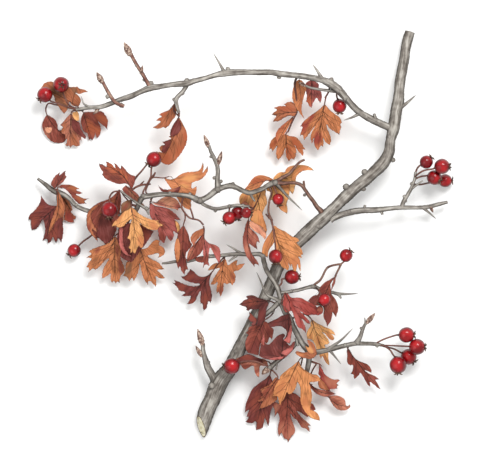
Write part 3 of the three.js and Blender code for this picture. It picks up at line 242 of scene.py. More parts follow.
# %% [markdown]
# ## Autumn leaves
# Each leaf has a base tone, and a blush, which is a second tone that lies on it in patches.
# The base tone is broken up by blotches a few mm wide, and darkens at the rim, where leaves dry
# first. Rim and blush are attributes that each blade carries on its points, so the dark edge
# follows its own outline. The veins are ridges of their own with a darker tone.

# %% Finishes of the leaves
LEAF_TONES = {
    "dark": (0.085, 0.011, 0.008),
    "maroon": (0.140, 0.022, 0.016),
    "red_brown": (0.215, 0.042, 0.024),
    "brown": (0.200, 0.085, 0.038),
    "red": (0.270, 0.036, 0.026),
    "rose": (0.380, 0.090, 0.075),
    "salmon": (0.410, 0.135, 0.080),
    "red_orange": (0.380, 0.090, 0.034),
    "orange_brown": (0.350, 0.105, 0.042),
    "orange": (0.470, 0.158, 0.058),
    "amber": (0.560, 0.212, 0.072),
    "yellow": (0.590, 0.265, 0.090),
    "gold": (0.760, 0.370, 0.135),
    "pale": (0.600, 0.255, 0.150),
}
RIM_DARK = 0.06                    # how dark a leaf's rim is beside its tone


def shade(tone, by):
    return tuple(min(1, part * by) for part in tone)


def leaf_finish(name, blush_name):
    """The finish of a blade in one tone with a blush of another, made once for each pair."""
    full_name = f"leaf_{name}_{blush_name}"
    if full_name in bpy.data.materials:
        return bpy.data.materials[full_name]
    tone = LEAF_TONES[name]
    tones = [shade(tone, 0.55), tone, tuple(min(1, part * 1.2 + 0.02) for part in tone)]
    overlays = [("blush", LEAF_TONES[blush_name]), ("rim", shade(tone, RIM_DARK))]
    return mottled(full_name, tones, 170, 1300, 0.65, 0.5, streaks=0.6, overlays=overlays)


def vein_finish(name):
    """The finish of the veins of a leaf of that tone, made once."""
    full_name = "vein_" + name
    if full_name in bpy.data.materials:
        return bpy.data.materials[full_name]
    tone = LEAF_TONES[name]
    return mottled(full_name, [shade(tone, share) for share in (0.10, 0.17, 0.26)],
                   300, 1500, 0.6, 0.2)


# %% [markdown]
# ## Pieces of the branch, and the table
# Every piece is built as a bmesh and handed to one function, which makes the object, says which
# plain solids it stands for, and lets it ride with the branch. The table is no part of the
# branch, so it is only staged. It lies a hair below the origin, where it touches nothing.

# %% Pieces and the table
SHARP = math.radians(50)           # edges that turn more than this are drawn as creases
TABLE_HALF = 3                     # m
TABLE_BELOW = 0.2 * MM


def finish_piece(bm, name, materials, stands_for=()):
    """Turn a bmesh into a piece of the branch, with its finishes and its place in the frame."""
    bmesh.ops.recalc_face_normals(bm, faces=bm.faces)
    for edge in bm.edges:
        edge.smooth = edge.calc_face_angle(0) < SHARP
    mesh = bpy.data.meshes.new(name)
    bm.to_mesh(mesh)
    bm.free()
    for material in materials:
        mesh.materials.append(material)
    piece = bpy.data.objects.new(name, mesh)
    bpy.context.collection.objects.link(piece)
    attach(piece, "root")
    if stands_for:
        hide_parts(*stands_for)
    return piece


table_bm = bmesh.new()
bmesh.ops.create_grid(table_bm, x_segments=1, y_segments=1, size=TABLE_HALF)
bmesh.ops.translate(table_bm, verts=table_bm.verts, vec=(0, 0, -TABLE_BELOW))
table_mesh = bpy.data.meshes.new("table")
table_bm.to_mesh(table_mesh)
table_bm.free()
table_mesh.materials.append(mottled(
    "table_pale", [(0.90, 0.90, 0.89), (0.92, 0.92, 0.91), (0.93, 0.93, 0.92)], 3, 40, 0.9, 0.0))
table = bpy.data.objects.new("table", table_mesh)
bpy.context.collection.objects.link(table)

# %% [markdown]
# ## A bar bent along a smooth way
# Boughs, twigs, thorns, stalks and veins are all round bars that taper. On the real plant they
# bend where they branched. A curve object with a bevel would do, but it takes no relief. So a
# closed cylinder is cut into rings, and each ring is moved to its place on a smooth curve and
# given its own thickness. Noise along the rings then raises the bark.

# %% The smooth way
BARK_KNOT = 90                     # noise per metre: swellings along a bough
BARK_RIDGE = 650                   # and the fine ridges of the bark
KNOT_HIGH, RIDGE_HIGH = 0.10, 0.075   # how far they stand out, as shares of the radius
# Painted shade on bars: a point's colour darkens the more it faces aside or down, and thin bars are
# darkened further up.
GRAIN_LONG = 0.08                  # how slowly the grain is counted along a bar
THIN = 2.0 * MM                    # radius below which a bar's flanks are dark further up
FLANK_DARKEST = 0.88
FLANK_FROM = 0.96                  # how far a point faces up where the flank begins


def smooth_way(stations, step):
    """Even steps of a smooth curve through (x, y, height, thickness), each with its radius."""
    stops = [place(*station[:3]) for station in stations]
    stops = [2 * stops[0] - stops[1], *stops, 2 * stops[-1] - stops[-2]]
    way = []
    for i in range(len(stations) - 1):
        before, start, end, after = stops[i:i + 4]
        near, span, far = [max(math.sqrt((b - a).length), 1e-5)
                           for a, b in ((before, start), (start, end), (end, after))]
        leave = (start - before) / near - (end - before) / (near + span) + (end - start) / span
        reach = (end - start) / span - (after - start) / (span + far) + (after - end) / far
        count = max(2, math.ceil((end - start).length / (step * MM)) + 1)
        bend = geometry.interpolate_bezier(
            start, start + leave * span / 3, end - reach * span / 3, end, count)
        from_thick, to_thick = stations[i][3], stations[i + 1][3]
        for k, spot in enumerate(bend[:-1]):
            thick = from_thick + (to_thick - from_thick) * (k / (count - 1))
            way.append((spot, thick * MM / 2))
    way.append((stops[-2], stations[-1][3] * MM / 2))
    return way


# %% The bent bar
def island(start):
    """All the points that hang together with one point."""
    found = {start}
    edge_of_search = [start]
    while edge_of_search:
        for edge in edge_of_search.pop().link_edges:
            for vert in edge.verts:
                if vert not in found:
                    found.add(vert)
                    edge_of_search.append(vert)
    return found


def add_bar(bm, stations, sides, step, relief=0.0, material=0):
    """Add a closed bar to a bmesh: a cylinder cut into rings that follow the way."""
    way = smooth_way(stations, step)
    floats, vectors = bm.verts.layers.float, bm.verts.layers.float_vector
    flank = floats.get("flank") or floats.new("flank")
    grain = vectors.get("grain") or vectors.new("grain")
    verts = bmesh.ops.create_cone(
        bm, cap_ends=True, segments=sides, radius1=1, radius2=1, depth=1)["verts"]
    long_edges = [edge for vert in verts if vert.co.z < 0
                  for edge in vert.link_edges if edge.other_vert(vert).co.z > 0]
    cut = bmesh.ops.subdivide_edges(bm, edges=long_edges, cuts=len(way) - 2)
    verts = island(next(part for part in cut["geom_inner"] if isinstance(part, bmesh.types.BMVert)))
    side_ways = []
    side = (way[1][0] - way[0][0]).orthogonal().normalized()
    for i, (spot, _) in enumerate(way):
        ahead = (way[min(i + 1, len(way) - 1)][0] - way[max(i - 1, 0)][0]).normalized()
        side = (side - ahead * side.dot(ahead)).normalized()
        side_ways.append((side, ahead.cross(side)))
    for vert in verts:
        row = round((vert.co.z + 0.5) * (len(way) - 1))
        spot, radius = way[row]
        one, two = side_ways[row]
        out = one * vert.co.x + two * vert.co.y
        # Painted shade: the flank attribute darkens points that face aside or down.
        fade = 0.6 if radius < THIN else 0.75
        vert[flank] = min(FLANK_DARKEST, max(0, (FLANK_FROM - out.z) / fade))
        quick = 0.5 + 0.7 * radius / MM
        vert[grain] = (vert.co.x * quick, vert.co.y * quick + len(way) * 3.7, row * step * GRAIN_LONG)
        vert.co = spot + out * radius
        if relief:
            knots = noise.noise(vert.co * BARK_KNOT)
            ridges = noise.noise(vert.co * BARK_RIDGE)
            vert.co += out * (knots * KNOT_HIGH + ridges * RIDGE_HIGH) * relief * radius
    for face in {face for vert in verts for face in vert.link_faces}:
        face.material_index = material
        face.smooth = True

# %% [markdown]
# ## Thorns, buds and knobs
# A hawthorn's thorns are short branches that end in a point, so each is a bar that bends a
# little and tapers. A bud is a bar too, with its thickness stepped like overlapping scales.
# Knobs and leaf scars are small balls sunk halfway in the bark.

# %% Small growths of a limb
BARK, RED_BARK, BUD, WOOD, DARK = range(5)
LIMB_SKINS = [bark, bark_red, bud_scale, sawn_wood, calyx_skin]
KNOB_GRAIN = 1400                  # noise per metre
KNOB_ROUGH = 0.25
KNOB_DARKEST = 0.85
DARKEST = 0.9                      # for wood in the shade of leaves
BUD_STEPS = [0.45, 0.75, 0.68, 0.95, 0.88, 1.0, 0.9, 0.86, 0.72, 0.62, 0.46, 0.3, 0.1]


def between(start, end, share):
    """The place a share of the way from start to end."""
    return [a + (b - a) * share for a, b in zip(start, end)]


def add_thorn(bm, root, bend, tip, thick):
    """A sharp thorn through three points, thick at its root."""
    stations = [(*root, thick * 1.15), (*between(root, bend, 0.4), thick * 0.85),
                (*bend, thick * 0.6), (*between(bend, tip, 0.7), thick * 0.32), (*tip, 0.18)]
    add_bar(bm, stations, 10, 1.0, relief=0.5)


def add_bud(bm, root, tip, thick):
    """A plump bud of stepped scales between two points."""
    last = len(BUD_STEPS) - 1
    stations = [(*between(root, tip, i / last), thick * step)
                for i, step in enumerate(BUD_STEPS)]
    add_bar(bm, stations, 14, 0.4, relief=0.25, material=BUD)


def add_knob(bm, spot, wide, high=0.5, material=BARK):
    """A ball sunk in the bark; `high` is its height for its width."""
    where = Matrix.Translation(place(*spot)) @ Matrix.Diagonal((1, 1, high, 1))
    radius = wide * MM / 2
    flank = bm.verts.layers.float["flank"]
    made = bmesh.ops.create_icosphere(bm, subdivisions=3, radius=radius, matrix=where)
    for vert in made["verts"]:
        out = vert.co - where.translation
        # Painted shade: the lower side of a knob is darker.
        vert[flank] = min(KNOB_DARKEST, max(0, 1 - out.z / (radius * high)))
        vert.co += out * noise.noise(vert.co * KNOB_GRAIN) * KNOB_ROUGH
    for face in {face for vert in made["verts"] for face in vert.link_faces}:
        face.material_index = material
        face.smooth = True


def darken(bm, share):
    """Darken the whole of a limb by a share, for wood that lies in the shade of leaves."""
    flank = bm.verts.layers.float["flank"]
    for vert in bm.verts:
        vert[flank] = min(DARKEST, vert[flank] + share)

# %% [markdown]
# ## The stem
# The stem is the oldest wood: a bar about 8 mm thick that swells below each bough. It runs past
# its foot and is then cut by a slanting plane, as a saw would do it. The cut face is filled
# and inset, which leaves a thin ring of bark round the pale wood.

# %% The stem
STEM = """
    195 443 5.4 9.9, 204 420 5.8 10.2, 207.5 410 6.1 10.7, 212 400 6.5 10.9, 216 390 7 11.3,
    221 380 7.6 11.5, 229 370 8.2 10, 234 360 9 9.2, 239 350 9.7 8.6, 249 330 11.2 8.2,
    259.5 310 12.5 8.3, 264 300 13.1 7.9, 273 280 14 8.1, 277 269 14.4 8, 290 250 15.2 8.5,
    304 236 16 8.9, 314.5 226 16.5 8.8, 325 217 16.8 8.8, 335 207 16.9 7.8, 342 200 17 7.8,
    349 193.5 16.9 8.1, 356 187.5 16.8 7.7, 364 181 16.6 7.9, 373 173 16.5 7.4, 381 165.5 16.3 7.8,
    386.5 158 16.1 7.4, 389.5 150 16 6.9, 390.5 140 16 6.5, 393 130 15.5 8.2, 395 120 15 7.8,
    396.5 110 14.3 7.7, 398.5 100 13 7.5, 399.5 90 11.6 6.7, 400.5 80 10.2 7.1, 402.5 70 8.8 7,
    404.5 60 7.3 6.6, 406 50 6 6.5, 408 40 4.8 6.7, 410.5 31.4 3.8 6.6"""
SAWN_AT = (201.2, 427.8, 5.6)
SAWN_FACING = Vector((-0.82, -0.37, 0.44))
BARK_THICK = 0.7 * MM              # the ring of bark round the sawn wood
WOOD_RIM = (0.5 * MM, 0.15 * MM)   # width and depth of the step inside it
STEM_KNOBS = """
    393 160 17 3.2, 364.5 172 18 4, 346 187 19 4.4, 363.5 189 18 3, 212 386 12 4.6,
    390 137 18 4, 236 352 13 3.4, 318 226 20 3.4"""
STEM_SHADE = 0.14


def saw_off(bm):
    """Cut the foot on a slant and close it with a face of wood in a ring of bark."""
    cut = bmesh.ops.bisect_plane(
        bm, geom=[*bm.verts, *bm.edges, *bm.faces], plane_co=place(*SAWN_AT),
        plane_no=SAWN_FACING, clear_outer=True)
    rim = [part for part in cut["geom_cut"] if isinstance(part, bmesh.types.BMEdge)]
    face = bmesh.ops.contextual_create(bm, geom=rim)["faces"][0]
    ring = bmesh.ops.inset_region(bm, faces=[face], thickness=BARK_THICK, depth=0)
    for part in ring["faces"]:
        part.material_index = DARK
        part.smooth = False
    face.material_index = WOOD
    face.smooth = False
    wood = bmesh.ops.inset_region(bm, faces=[face], thickness=WOOD_RIM[0], depth=WOOD_RIM[1])
    for part in wood["faces"]:
        part.material_index = WOOD


stem_bm = bmesh.new()
add_bar(stem_bm, spots(STEM), 28, 1.0, relief=0.9)
saw_off(stem_bm)
add_thorn(stem_bm, (400, 108, 14), (408, 102, 14.5), (416, 95, 15), 3.0)
for *spot, wide in spots(STEM_KNOBS):
    add_knob(stem_bm, spot, wide, 0.7)

BASE_TWIG = """
    214 379 8.6 5.6, 208 368 10 4.7, 206 362 10.4 4, 204 355 10.6 3.3, 203 350 10.6 2.9,
    203 344 10.6 2.7"""
add_bar(stem_bm, spots(BASE_TWIG), 14, 0.8, relief=1.0)
add_bud(stem_bm, (203, 346, 10.6), (197.5, 329, 10.6), 4.4)
add_bud(stem_bm, (202, 357, 10.8), (195.5, 346, 11.4), 3.2)
add_knob(stem_bm, (208.3, 362.5, 11.6), 2.2, 0.8)
darken(stem_bm, STEM_SHADE)
stem = finish_piece(stem_bm, "bark_main_stem", LIMB_SKINS, ["main_stem"])
print("stem faces:", len(stem.data.polygons))

# %% [markdown]
# ## The boughs and twigs
# Each bough is a bar along its own way, with its twigs, thorns and buds grown on. They are
# named as in the frame. A bough's foot runs a little into the wood that carries it, as living
# wood does, where the plain solids keep a small gap.

# %% The boughs of the upper half
def grow_limb(name, bars, knobs, thorns=(), buds=(), shade=0.22):
    """One limb with all that grows on it, in the place of its plain solid. A bar or a knob is
    written "x y height thickness, ...", a thorn or a bud as its places and then its thickness."""
    bm = bmesh.new()
    for material, way in bars:
        add_bar(bm, spots(way), 14, 0.8, relief=1.1, material=material)
    for growths, add_growth in ((thorns, add_thorn), (buds, add_bud)):
        for growth in growths:
            *way, (thick,) = spots(growth)
            add_growth(bm, *way, thick)
    for *spot, wide in spots(knobs):
        add_knob(bm, spot, wide)
    darken(bm, shade)
    finish_piece(bm, "bark_" + name, LIMB_SKINS, [name])


grow_limb("upper_bough_inner", [
    (BARK, """
        393 129 15.5 5.6, 388 127 15.8 5.1, 380 123.5 16.4 4.8, 370 118.5 17.4 5.1, 362 114 18.8 4.2,
        355 108.5 20 4.4, 348 101 21.6 4.5, 342 94 23.2 5, 338 89.5 24 5.4"""),
    (BARK, "376 121 17 2.4, 375 117.5 17.8 2.2, 374 114 18.6 1.9"),
    (BARK, """
        339 91.5 23.6 3, 334 91.5 23 2.2, 325 90.5 23 1.8, 318 89.5 23.2 1.7, 310 88 23.5 1.7,
        304 85.5 23.8 1.6"""),
],
    thorns=["360 113.4 19, 352 117.5 19.5, 343.5 120.5 20, 2.5"],
    buds=["306 86.5 23.7, 298 82.5 24, 2.5"], knobs="366 117 19.6 3, 345 99 24 3", shade=0.1)

grow_limb("upper_bough_outer", [
    (BARK, """
        339.5 91 24 5.4, 338 89.5 24.2 5.4, 330 84 25 5.3, 322 80.5 26 4.2, 310 78 27.4 3.9,
        300 76.5 28.2 4, 290 75.5 29.2 4.1, 280 74.5 30 4.2, 270 73 30.4 3.9, 260 73 30.6 3.9,
        250 73 30.8 3.9, 240 73 31 4.2, 230 73.5 31 4.5, 222 74.5 31 4.5, 215 76 30.6 3.6,
        205 79 30 3.3, 195 81.5 29.6 3.6, 187 84 29 4.5, 180 84.5 28.4 3.9, 170 85.5 27.2 3.1,
        160 87 26 3.5, 150 88.5 25 4.5, 140 92.5 23.6 3.6, 130 97 22 3.6, 120 100 20.6 3.3,
        110 104 19.2 3.2, 100 107 18 2.9, 90 107.5 16.6 2.6, 80 109 15.3 2, 76 109.5 15 1.7"""),
    (RED_BARK, """
        124 106.5 23 2.7, 119 104.5 24 2.6, 115 102 24.2 2.5, 110 95 24 2.3, 106 88 23.5 2.2,
        103 82 23 2.2"""),
    (BARK, """
        187 86 27.5 2.8, 183 92 26.8 2.6, 178 97 26 2.7, 176 100.5 25.6 3.2, 177 106 25 2.3,
        179 113 24 1.9"""),
],
    thorns=["322 80 26, 318 73 27, 312.5 65 28, 3", "90 107.5 17, 84 104 17, 81 96 17, 1.8",
            "225 74 31, 220 65 31.5, 213.5 54 31.5, 2.6",
            "79 109.2 15.2, 76 109 15, 72 108 14.6, 1.7"],
    buds=["103 83.5 23, 97 72.5 22.4, 4.2", "99.5 108 17.4, 93 114.5 16, 2.4"],
    knobs="""
        121.5 105.5 23.6 3.2, 331 80.5 26 3.4, 279 77.6 29.6 3, 228 70 31.4 3.2, 151 84 25.4 3.6,
        108 97 24.2 2.8, 182.5 93.5 27 3, 174.5 100 26 2.6, 187 82 29.4 4""", shade=0)

grow_limb("twig_budded", [
    (RED_BARK, """
        150 87 25 3, 146 80 25.6 2.7, 142 73 26 2.6, 138 67 26.4 2.4, 134 60 26.6 2.4, 131 54 26.8 2.5"""),
],
    buds=["131 56.5 26.8, 124.5 43 26.6, 5", "141 75 26.4, 143 66 27.6, 2.6"],
    knobs="144.5 80.5 25.4 2.2, 137 66 27 2.4", shade=0)

grow_limb("right_bough", [
    (BARK, """
        330 220 17 4.8, 333 218 17 4.6, 345 213.5 16.6 4.2, 360 210.5 16 3.9, 375 210 15 3.9,
        390 208.5 13.8 3, 400 207.5 13 2.9, 410 207.5 12 2.7, 420 207.5 10.6 2.7, 430 206.5 9 2.7,
        440 204 7.5 2.6, 448 202 6 2"""),
    (BARK, """
        402 206.5 12.8 2.9, 404 201 13.4 2.6, 407 196 13.8 2.4, 411 189 14.4 2.3, 413 184 14.8 2,
        415 178 15.2 1.9, 415.5 172 15.4 1.7"""),
    (BARK, "412 188.5 14.4 1.7, 418 184 14.8 1.3, 423 180.5 15 0.8"),
    (BARK, "364 210 15.6 2.4, 364.6 207.5 15.8 2, 365 205 15.8 1.6"),
    (BARK, "381 210 14.6 2.4, 382 212.5 14.4 2, 382.5 214.8 14.4 1.6"),
],
    thorns=["424 208 10, 430 213 8, 437 219 5, 2.2"],
    buds=["431 207 9.8, 433.5 212.5 10, 2.2"],
    knobs="404.5 196.5 14.4 2.4, 405.6 201 13.6 2.2, 412 184 15.2 2.6, 349 212 18 3.2", shade=0.12)

# %% The middle bough, which bends across the stem
grow_limb("middle_bough_inner", [
    (RED_BARK, """
        322 213 17.6 4, 321 211 18.2 3.8, 317 207 19.4 3, 313 201 20.8 2.6, 309 196 22 2.5,
        305 190 23.2 2.3, 302 186 24 2.2, 297 183.5 24.6 2.1, 290 183 25.2 2.1, 283 183.5 25.6 2.8,
        275 183 26 4.2"""),
    (BARK, """
        277 182.6 26 4.4, 275 183 26 4.5, 268 185.5 26.2 3.3, 263 188.5 26.5 3.1, 257 191 26.8 3.1,
        250 193 27 3.3, 243 191 27 3.1, 237 188 27 3.1, 231 186 27 3.8, 225 187 27 3.5,
        218 189.5 27 4.5, 215 191.5 26.8 4.2, 210 195.5 26.5 3.9, 205 198.5 26.2 3.7, 200 200.5 26 4.7,
        194.5 198.8 25.9 4.1"""),
    (RED_BARK, """
        276 181.5 26 2.5, 283 177.5 26 2.3, 289 174 26 2, 295 167 26 1.8, 300 162 26 1.7,
        304.5 160 26 1.5"""),
    (RED_BARK, "304 187 23.6 1.7, 303.8 184 24 1.5, 303.5 181 24.4 1.2"),
    (BARK, "250 193.5 27 2, 252.5 198 27.2 1.6, 255 201.5 27.4 1.2"),
    (RED_BARK, """
        269 186 25.6 1.7, 271.5 193 24.8 1.5, 269.5 200 24.6 1.4, 268.5 207 24.6 1.4,
        268.5 213 24.6 1.5, 272 221 24.2 1.6"""),
    (RED_BARK, "270 219 24.4 1.4, 267.5 216 24.8 1.2, 265.5 214 25 1"),
],
    thorns=["276 184 26, 288 197 28, 302 210.5 29, 2.6"],
    knobs="233 184 27.6 2.6, 304.5 195 23 2.2, 218 190 28.6 4, 200 201 27.6 4, 275 183 27.6 3.8")

grow_limb("middle_bough_outer", [
    (BARK, """
        197.5 199.6 25.9 4.1, 190 196.5 25.7 3.5, 180 195 25.3 3.2, 170 194.5 24.9 3.2,
        160 194.5 24.4 3.2, 150 196 23.8 3.3, 143 197.5 23 3.5, 139 204 21 3.4, 135 211 18.4 3.2,
        120 215 14 3, 100 214 11.2 2.9, 87.5 210.9 10.2 2.9"""),
    (BARK, """
        121 191 25.4 1.3, 130 198 24.8 1.5, 137 203 23.6 1.7, 141 205.5 22.6 1.9, 147 210 22.8 1.9,
        149 215 22.6 1.2"""),
],
    knobs="190 194 26.6 2.2, 143.5 196 24.4 3.4, 147 208.5 23.4 2.8, 170 193 25.8 2.2")

grow_limb("left_bough", [
    (BARK, """
        91 211.9 10.4 2.9, 88 211 10.2 2.9, 80 208 9.8 2.9, 75 205 9.5 2.9, 70 199.5 9.2 2.8,
        65 195.5 8.9 3.1, 58 192.5 8.5 3.8, 52 190 8 3.2, 45 184.5 6.6 2.8, 37 178.5 5 1.8"""),
],
    knobs="58 192 9.8 3.6, 45 184 7.6 2.4, 76 205 10.6 2.6")

grow_limb("middle_bough_lower", [
    (BARK, """
        200 200.5 26 2.8, 203 204 26 2.4, 210 207.5 26 2.3, 216 209 26 2.5, 223 208 26 2.3,
        230 206.5 26 2.3, 237 205.4 26.2 2.1, 243 206 26.4 2, 250 206.6 26.8 1.6"""),
],
    knobs="215.5 210.5 26.6 2.4, 229.5 206 27 2.4, 243 205.5 27 2")

grow_limb("twig_tall", [
    (BARK, """
        218 190 26.8 4.6, 218 186 27 4.2, 217.5 180 27.4 3.2, 218 172 27.6 2.9, 217 165 27.6 2.9,
        214 158 27.4 2.6, 211 152 27 2.3, 209 146 26.6 2.2"""),
],
    buds=["209 148 26.6, 204 135 26, 3.4", "218 165 27.8, 222 151.5 29, 3.4"],
    knobs="214.5 178 28 2.4, 221 181.5 28 2.4, 211 157 27.6 2")

# %% The lower boughs
grow_limb("lower_bough", [
    (BARK, """
        259.5 316.5 15.4 3.6, 261 316 16 3.4, 266 314 18.6 3.2, 272 309 20.6 3.2, 277 304 21.6 3.6,
        280 301 22 4.1, 282 305 22 3.9, 285 312 22 3.9, 290 319 21.4 3.9, 293 326 21 3.6,
        297 334 20.2 3.8, 302 343 19.2 3.9, 307.5 350 18 4.3, 309 358 17 3.6, 308 366 15.6 3.3,
        307 372 14 3"""),
    (BARK, "296 338 20 2.2, 297 342 19.8 1.9, 298 346 19.6 1.6"),
],
    thorns=["280 301 22.4, 267 294.6 24, 256.5 272 25, 2.8",
            "272 309 20.6, 273 311 21.8, 273.5 313.5 22.6, 1.7"],
    knobs="308 351 19.6 4, 280 301.5 23.6 3.6, 291 321 22.6 3")

grow_limb("lower_bough_left", [
    (BARK, """
        280.5 301 22.2 3.4, 280 297 22.3 3.4, 278 289 22.6 3.5, 275 283 22.8 3.3, 270 276 22.8 3.3,
        266 269 22.7 3.2, 264 262 22.6 3.2, 262.5 256 22.4 3.1, 259 254 22 2.9, 250 254.5 21.2 2.7,
        240 254 20.6 2.7, 230 254.5 20 2.6, 220 255.5 19.3 2.5, 209 256.5 18.6 2.4, 192 260 17 2.3,
        186 261.5 16.4 2.3, 176 261.5 15.4 2.1, 170 262.5 14.8 1.9, 162 263.5 14 1.3"""),
    (BARK, "237 255.5 20.4 1.7, 232.5 258.5 20.4 1.3, 228.5 261.5 20.4 0.8"),
],
    thorns=["242 254 20.8, 235 249.5 21.4, 226.5 244.5 21.6, 2.2"],
    knobs="263 256.5 23.2 3.2, 276 285 23.6 2.6, 209 256 19.4 2.6, 187 260.5 17.2 2.2")

grow_limb("twig_thorned", [
    (BARK, """
        279.5 293 22.4 2.6, 283 292.6 22.4 2.5, 290 291.5 22.4 2.3, 300 289.5 22 2.3,
        307 287.5 21.8 2.3, 313 286.5 21.6 3, 320 289 21 2.3, 331 292 20 2.2, 338 294 19.4 2.5"""),
    (BARK, "338 294 19.4 1.9, 340 296.5 19.5 1.6, 341 298.5 19.6 1.2"),
    (RED_BARK, """
        313 286.5 21.6 1.8, 315 284 22 1.6, 320 280 22.4 1.5, 326 269 22.6 1.4, 328 267 22.4 1.5,
        334 265 22 1.4, 341 264 21.4 1.5"""),
    (RED_BARK, "341 264 21.4 1.4, 338 270 21.4 1.3, 335 276 21.8 1.3"),
],
    thorns=["337 293.8 19.4, 347 294 18.6, 358 293.5 17.8, 2.2"],
    knobs="313 286.5 22.6 2.8, 291 291 23.2 2.4, 327 268 22.8 1.7")

grow_limb("lower_right_bough", [
    (BARK, """
        309 352.5 18 3.6, 316 352 18 3.4, 325 350.5 18 3.2, 335 348 18 3.2, 345 345.5 17.8 2.9,
        355 343.5 17.6 2.9, 365 343.5 17.2 2.6, 375 344 16.6 2.4, 384 345.5 16 1.8"""),
    (BARK, "356.5 343 17.8 3.8, 360 337 18.2 2.9, 362 331 18.6 2.4, 364 326 19 2, 366.5 322 19.2 1.9"),
    (BARK, "365 325 19.2 1.5, 365 321 19.5 1.1, 364.5 317.5 19.8 0.6"),
],
    thorns=["327 350 18.2, 341 340 19.6, 352.7 328.3 20.6, 2.5",
            "330 350.5 18, 336 358 18.4, 341 364 18.6, 1.9"],
    buds=["366 323.5 19.2, 375 313 19.6, 3.6"],
    knobs="361 328 19.4 2, 377 346 17 2.2, 345 345 19 2.6, 358 343 19 3")

grow_limb("twig_curled", [
    (BARK, """
        299 340 19.2 2.4, 297 342 18.8 2.6, 290 350 17.6 3, 282 357 16.6 3.2, 275 363 16.1 3.2,
        270 368 16 3.2"""),
    (BARK, "277 362 16.4 1.6, 276.5 366 16.7 1.2, 276 370 17 0.7"),
],
    buds=["270.5 367.5 16.2, 262 374.5 17.6, 3.6"], knobs="283 356.5 17.8 3, 270 367.5 17.4 3")
print("limbs grown")

# %% [markdown]
# ## Haws
# A haw is a small pome: a round fruit, a little longer than wide, with faint ribs. At its far
# end it keeps the withered calyx, a dark collar with five pointed sepals round a small pit.
# The body is a sphere that is squeezed to shape; the collar is a short cone with its top pushed
# in; each sepal is a small bar bent outwards.

# %% One haw
HAW_LONG = 1.05                    # length for width
HAW_RIPE = 1.07                    # how much the ripe body is fuller than the list says
HAW_LOWEST = 1.06                  # the least height of its middle, for its radius
HAW_TOP = 33.9 * MM                # nothing on the branch is higher
HAW_DARKEST = 0.93
HAW_STALK = 1.15                   # mm thick
SEPALS = 5
haws_bm = bmesh.new()
haw_flank = haws_bm.verts.layers.float.new("flank")
crowns_bm = bmesh.new()
stalks_bm = bmesh.new()
chance = random.Random(7)


def add_haw(text):
    """A haw on its stalk, from "place, radius, way it faces, places of the stalk"."""
    at, (radius,), facing, *stalk = spots(text)
    size = radius * SQUARE * MM * HAW_RIPE
    turn = Vector(facing).to_track_quat("Z", "Y").to_matrix().to_4x4()
    spot = place(*at)
    spot.z = min(max(spot.z, size * HAW_LOWEST), HAW_TOP - size)
    where = Matrix.Translation(spot) @ turn
    body = bmesh.ops.create_uvsphere(haws_bm, u_segments=36, v_segments=22, radius=size)
    for vert in body["verts"]:
        height = vert.co.z / size
        around = math.atan2(vert.co.y, vert.co.x)
        ribs = 0.012 * math.cos(SEPALS * around) * (1 - height * height)
        dent = 0.16 * max(0, abs(height) - 0.8)
        lumps = 0.03 * noise.noise((vert.co + Vector(at) * MM) * 260)
        vert.co.x *= 1 + ribs + lumps - 0.02
        vert.co.y *= 1 + ribs + lumps - 0.02
        vert.co.z *= HAW_LONG * (1 - dent) - 0.03
    bmesh.ops.transform(haws_bm, matrix=where, verts=body["verts"])
    # Painted shade: each haw darkens from its top down towards the table.
    for vert in body["verts"]:
        up = (vert.co - where.translation).z / size
        vert[haw_flank] = min(HAW_DARKEST, max(0, 0.88 - up) / 0.75)

    rim = size * 0.93
    wide = 1.12 * MM * radius / 7
    collar = bmesh.ops.create_cone(
        crowns_bm, cap_ends=True, segments=20, radius1=wide * 1.25, radius2=wide,
        depth=0.7 * MM, matrix=where @ Matrix.Translation((0, 0, rim)))
    caps = {face for vert in collar["verts"] for face in vert.link_faces if len(face.verts) > 4}
    top = max(caps, key=lambda face: (face.calc_center_median() - where.translation).length)
    bmesh.ops.inset_region(crowns_bm, faces=[top], thickness=0.28 * MM, depth=-0.4 * MM)
    spin = chance.uniform(0, math.tau)
    for i in range(SEPALS):
        angle = spin + math.tau * i / SEPALS + chance.uniform(-0.15, 0.15)
        long = chance.uniform(1.6, 2.2) * MM
        ray = Vector((math.cos(angle), math.sin(angle), 0))
        steps = [(wide * 0.7, 0.15, 0.9), (wide * 1.05, 0.5, 1.0),
                 (wide * 1.05 + long * 0.45, 0.8, 0.8), (wide + long * 0.95, 0.9, 0.25)]
        way = [(*on_sheet(where @ (ray * out + Vector((0, 0, rim + lift * MM)))), thick)
               for out, lift, thick in steps]
        add_bar(crowns_bm, way, 6, 0.4)

    foot = where @ Vector((0, 0, -size * 0.9))
    way = [(*on_sheet(foot), HAW_STALK * 1.25), *[(*spot, HAW_STALK) for spot in stalk]]
    add_bar(stalks_bm, way, 8, 0.8, relief=0.6)


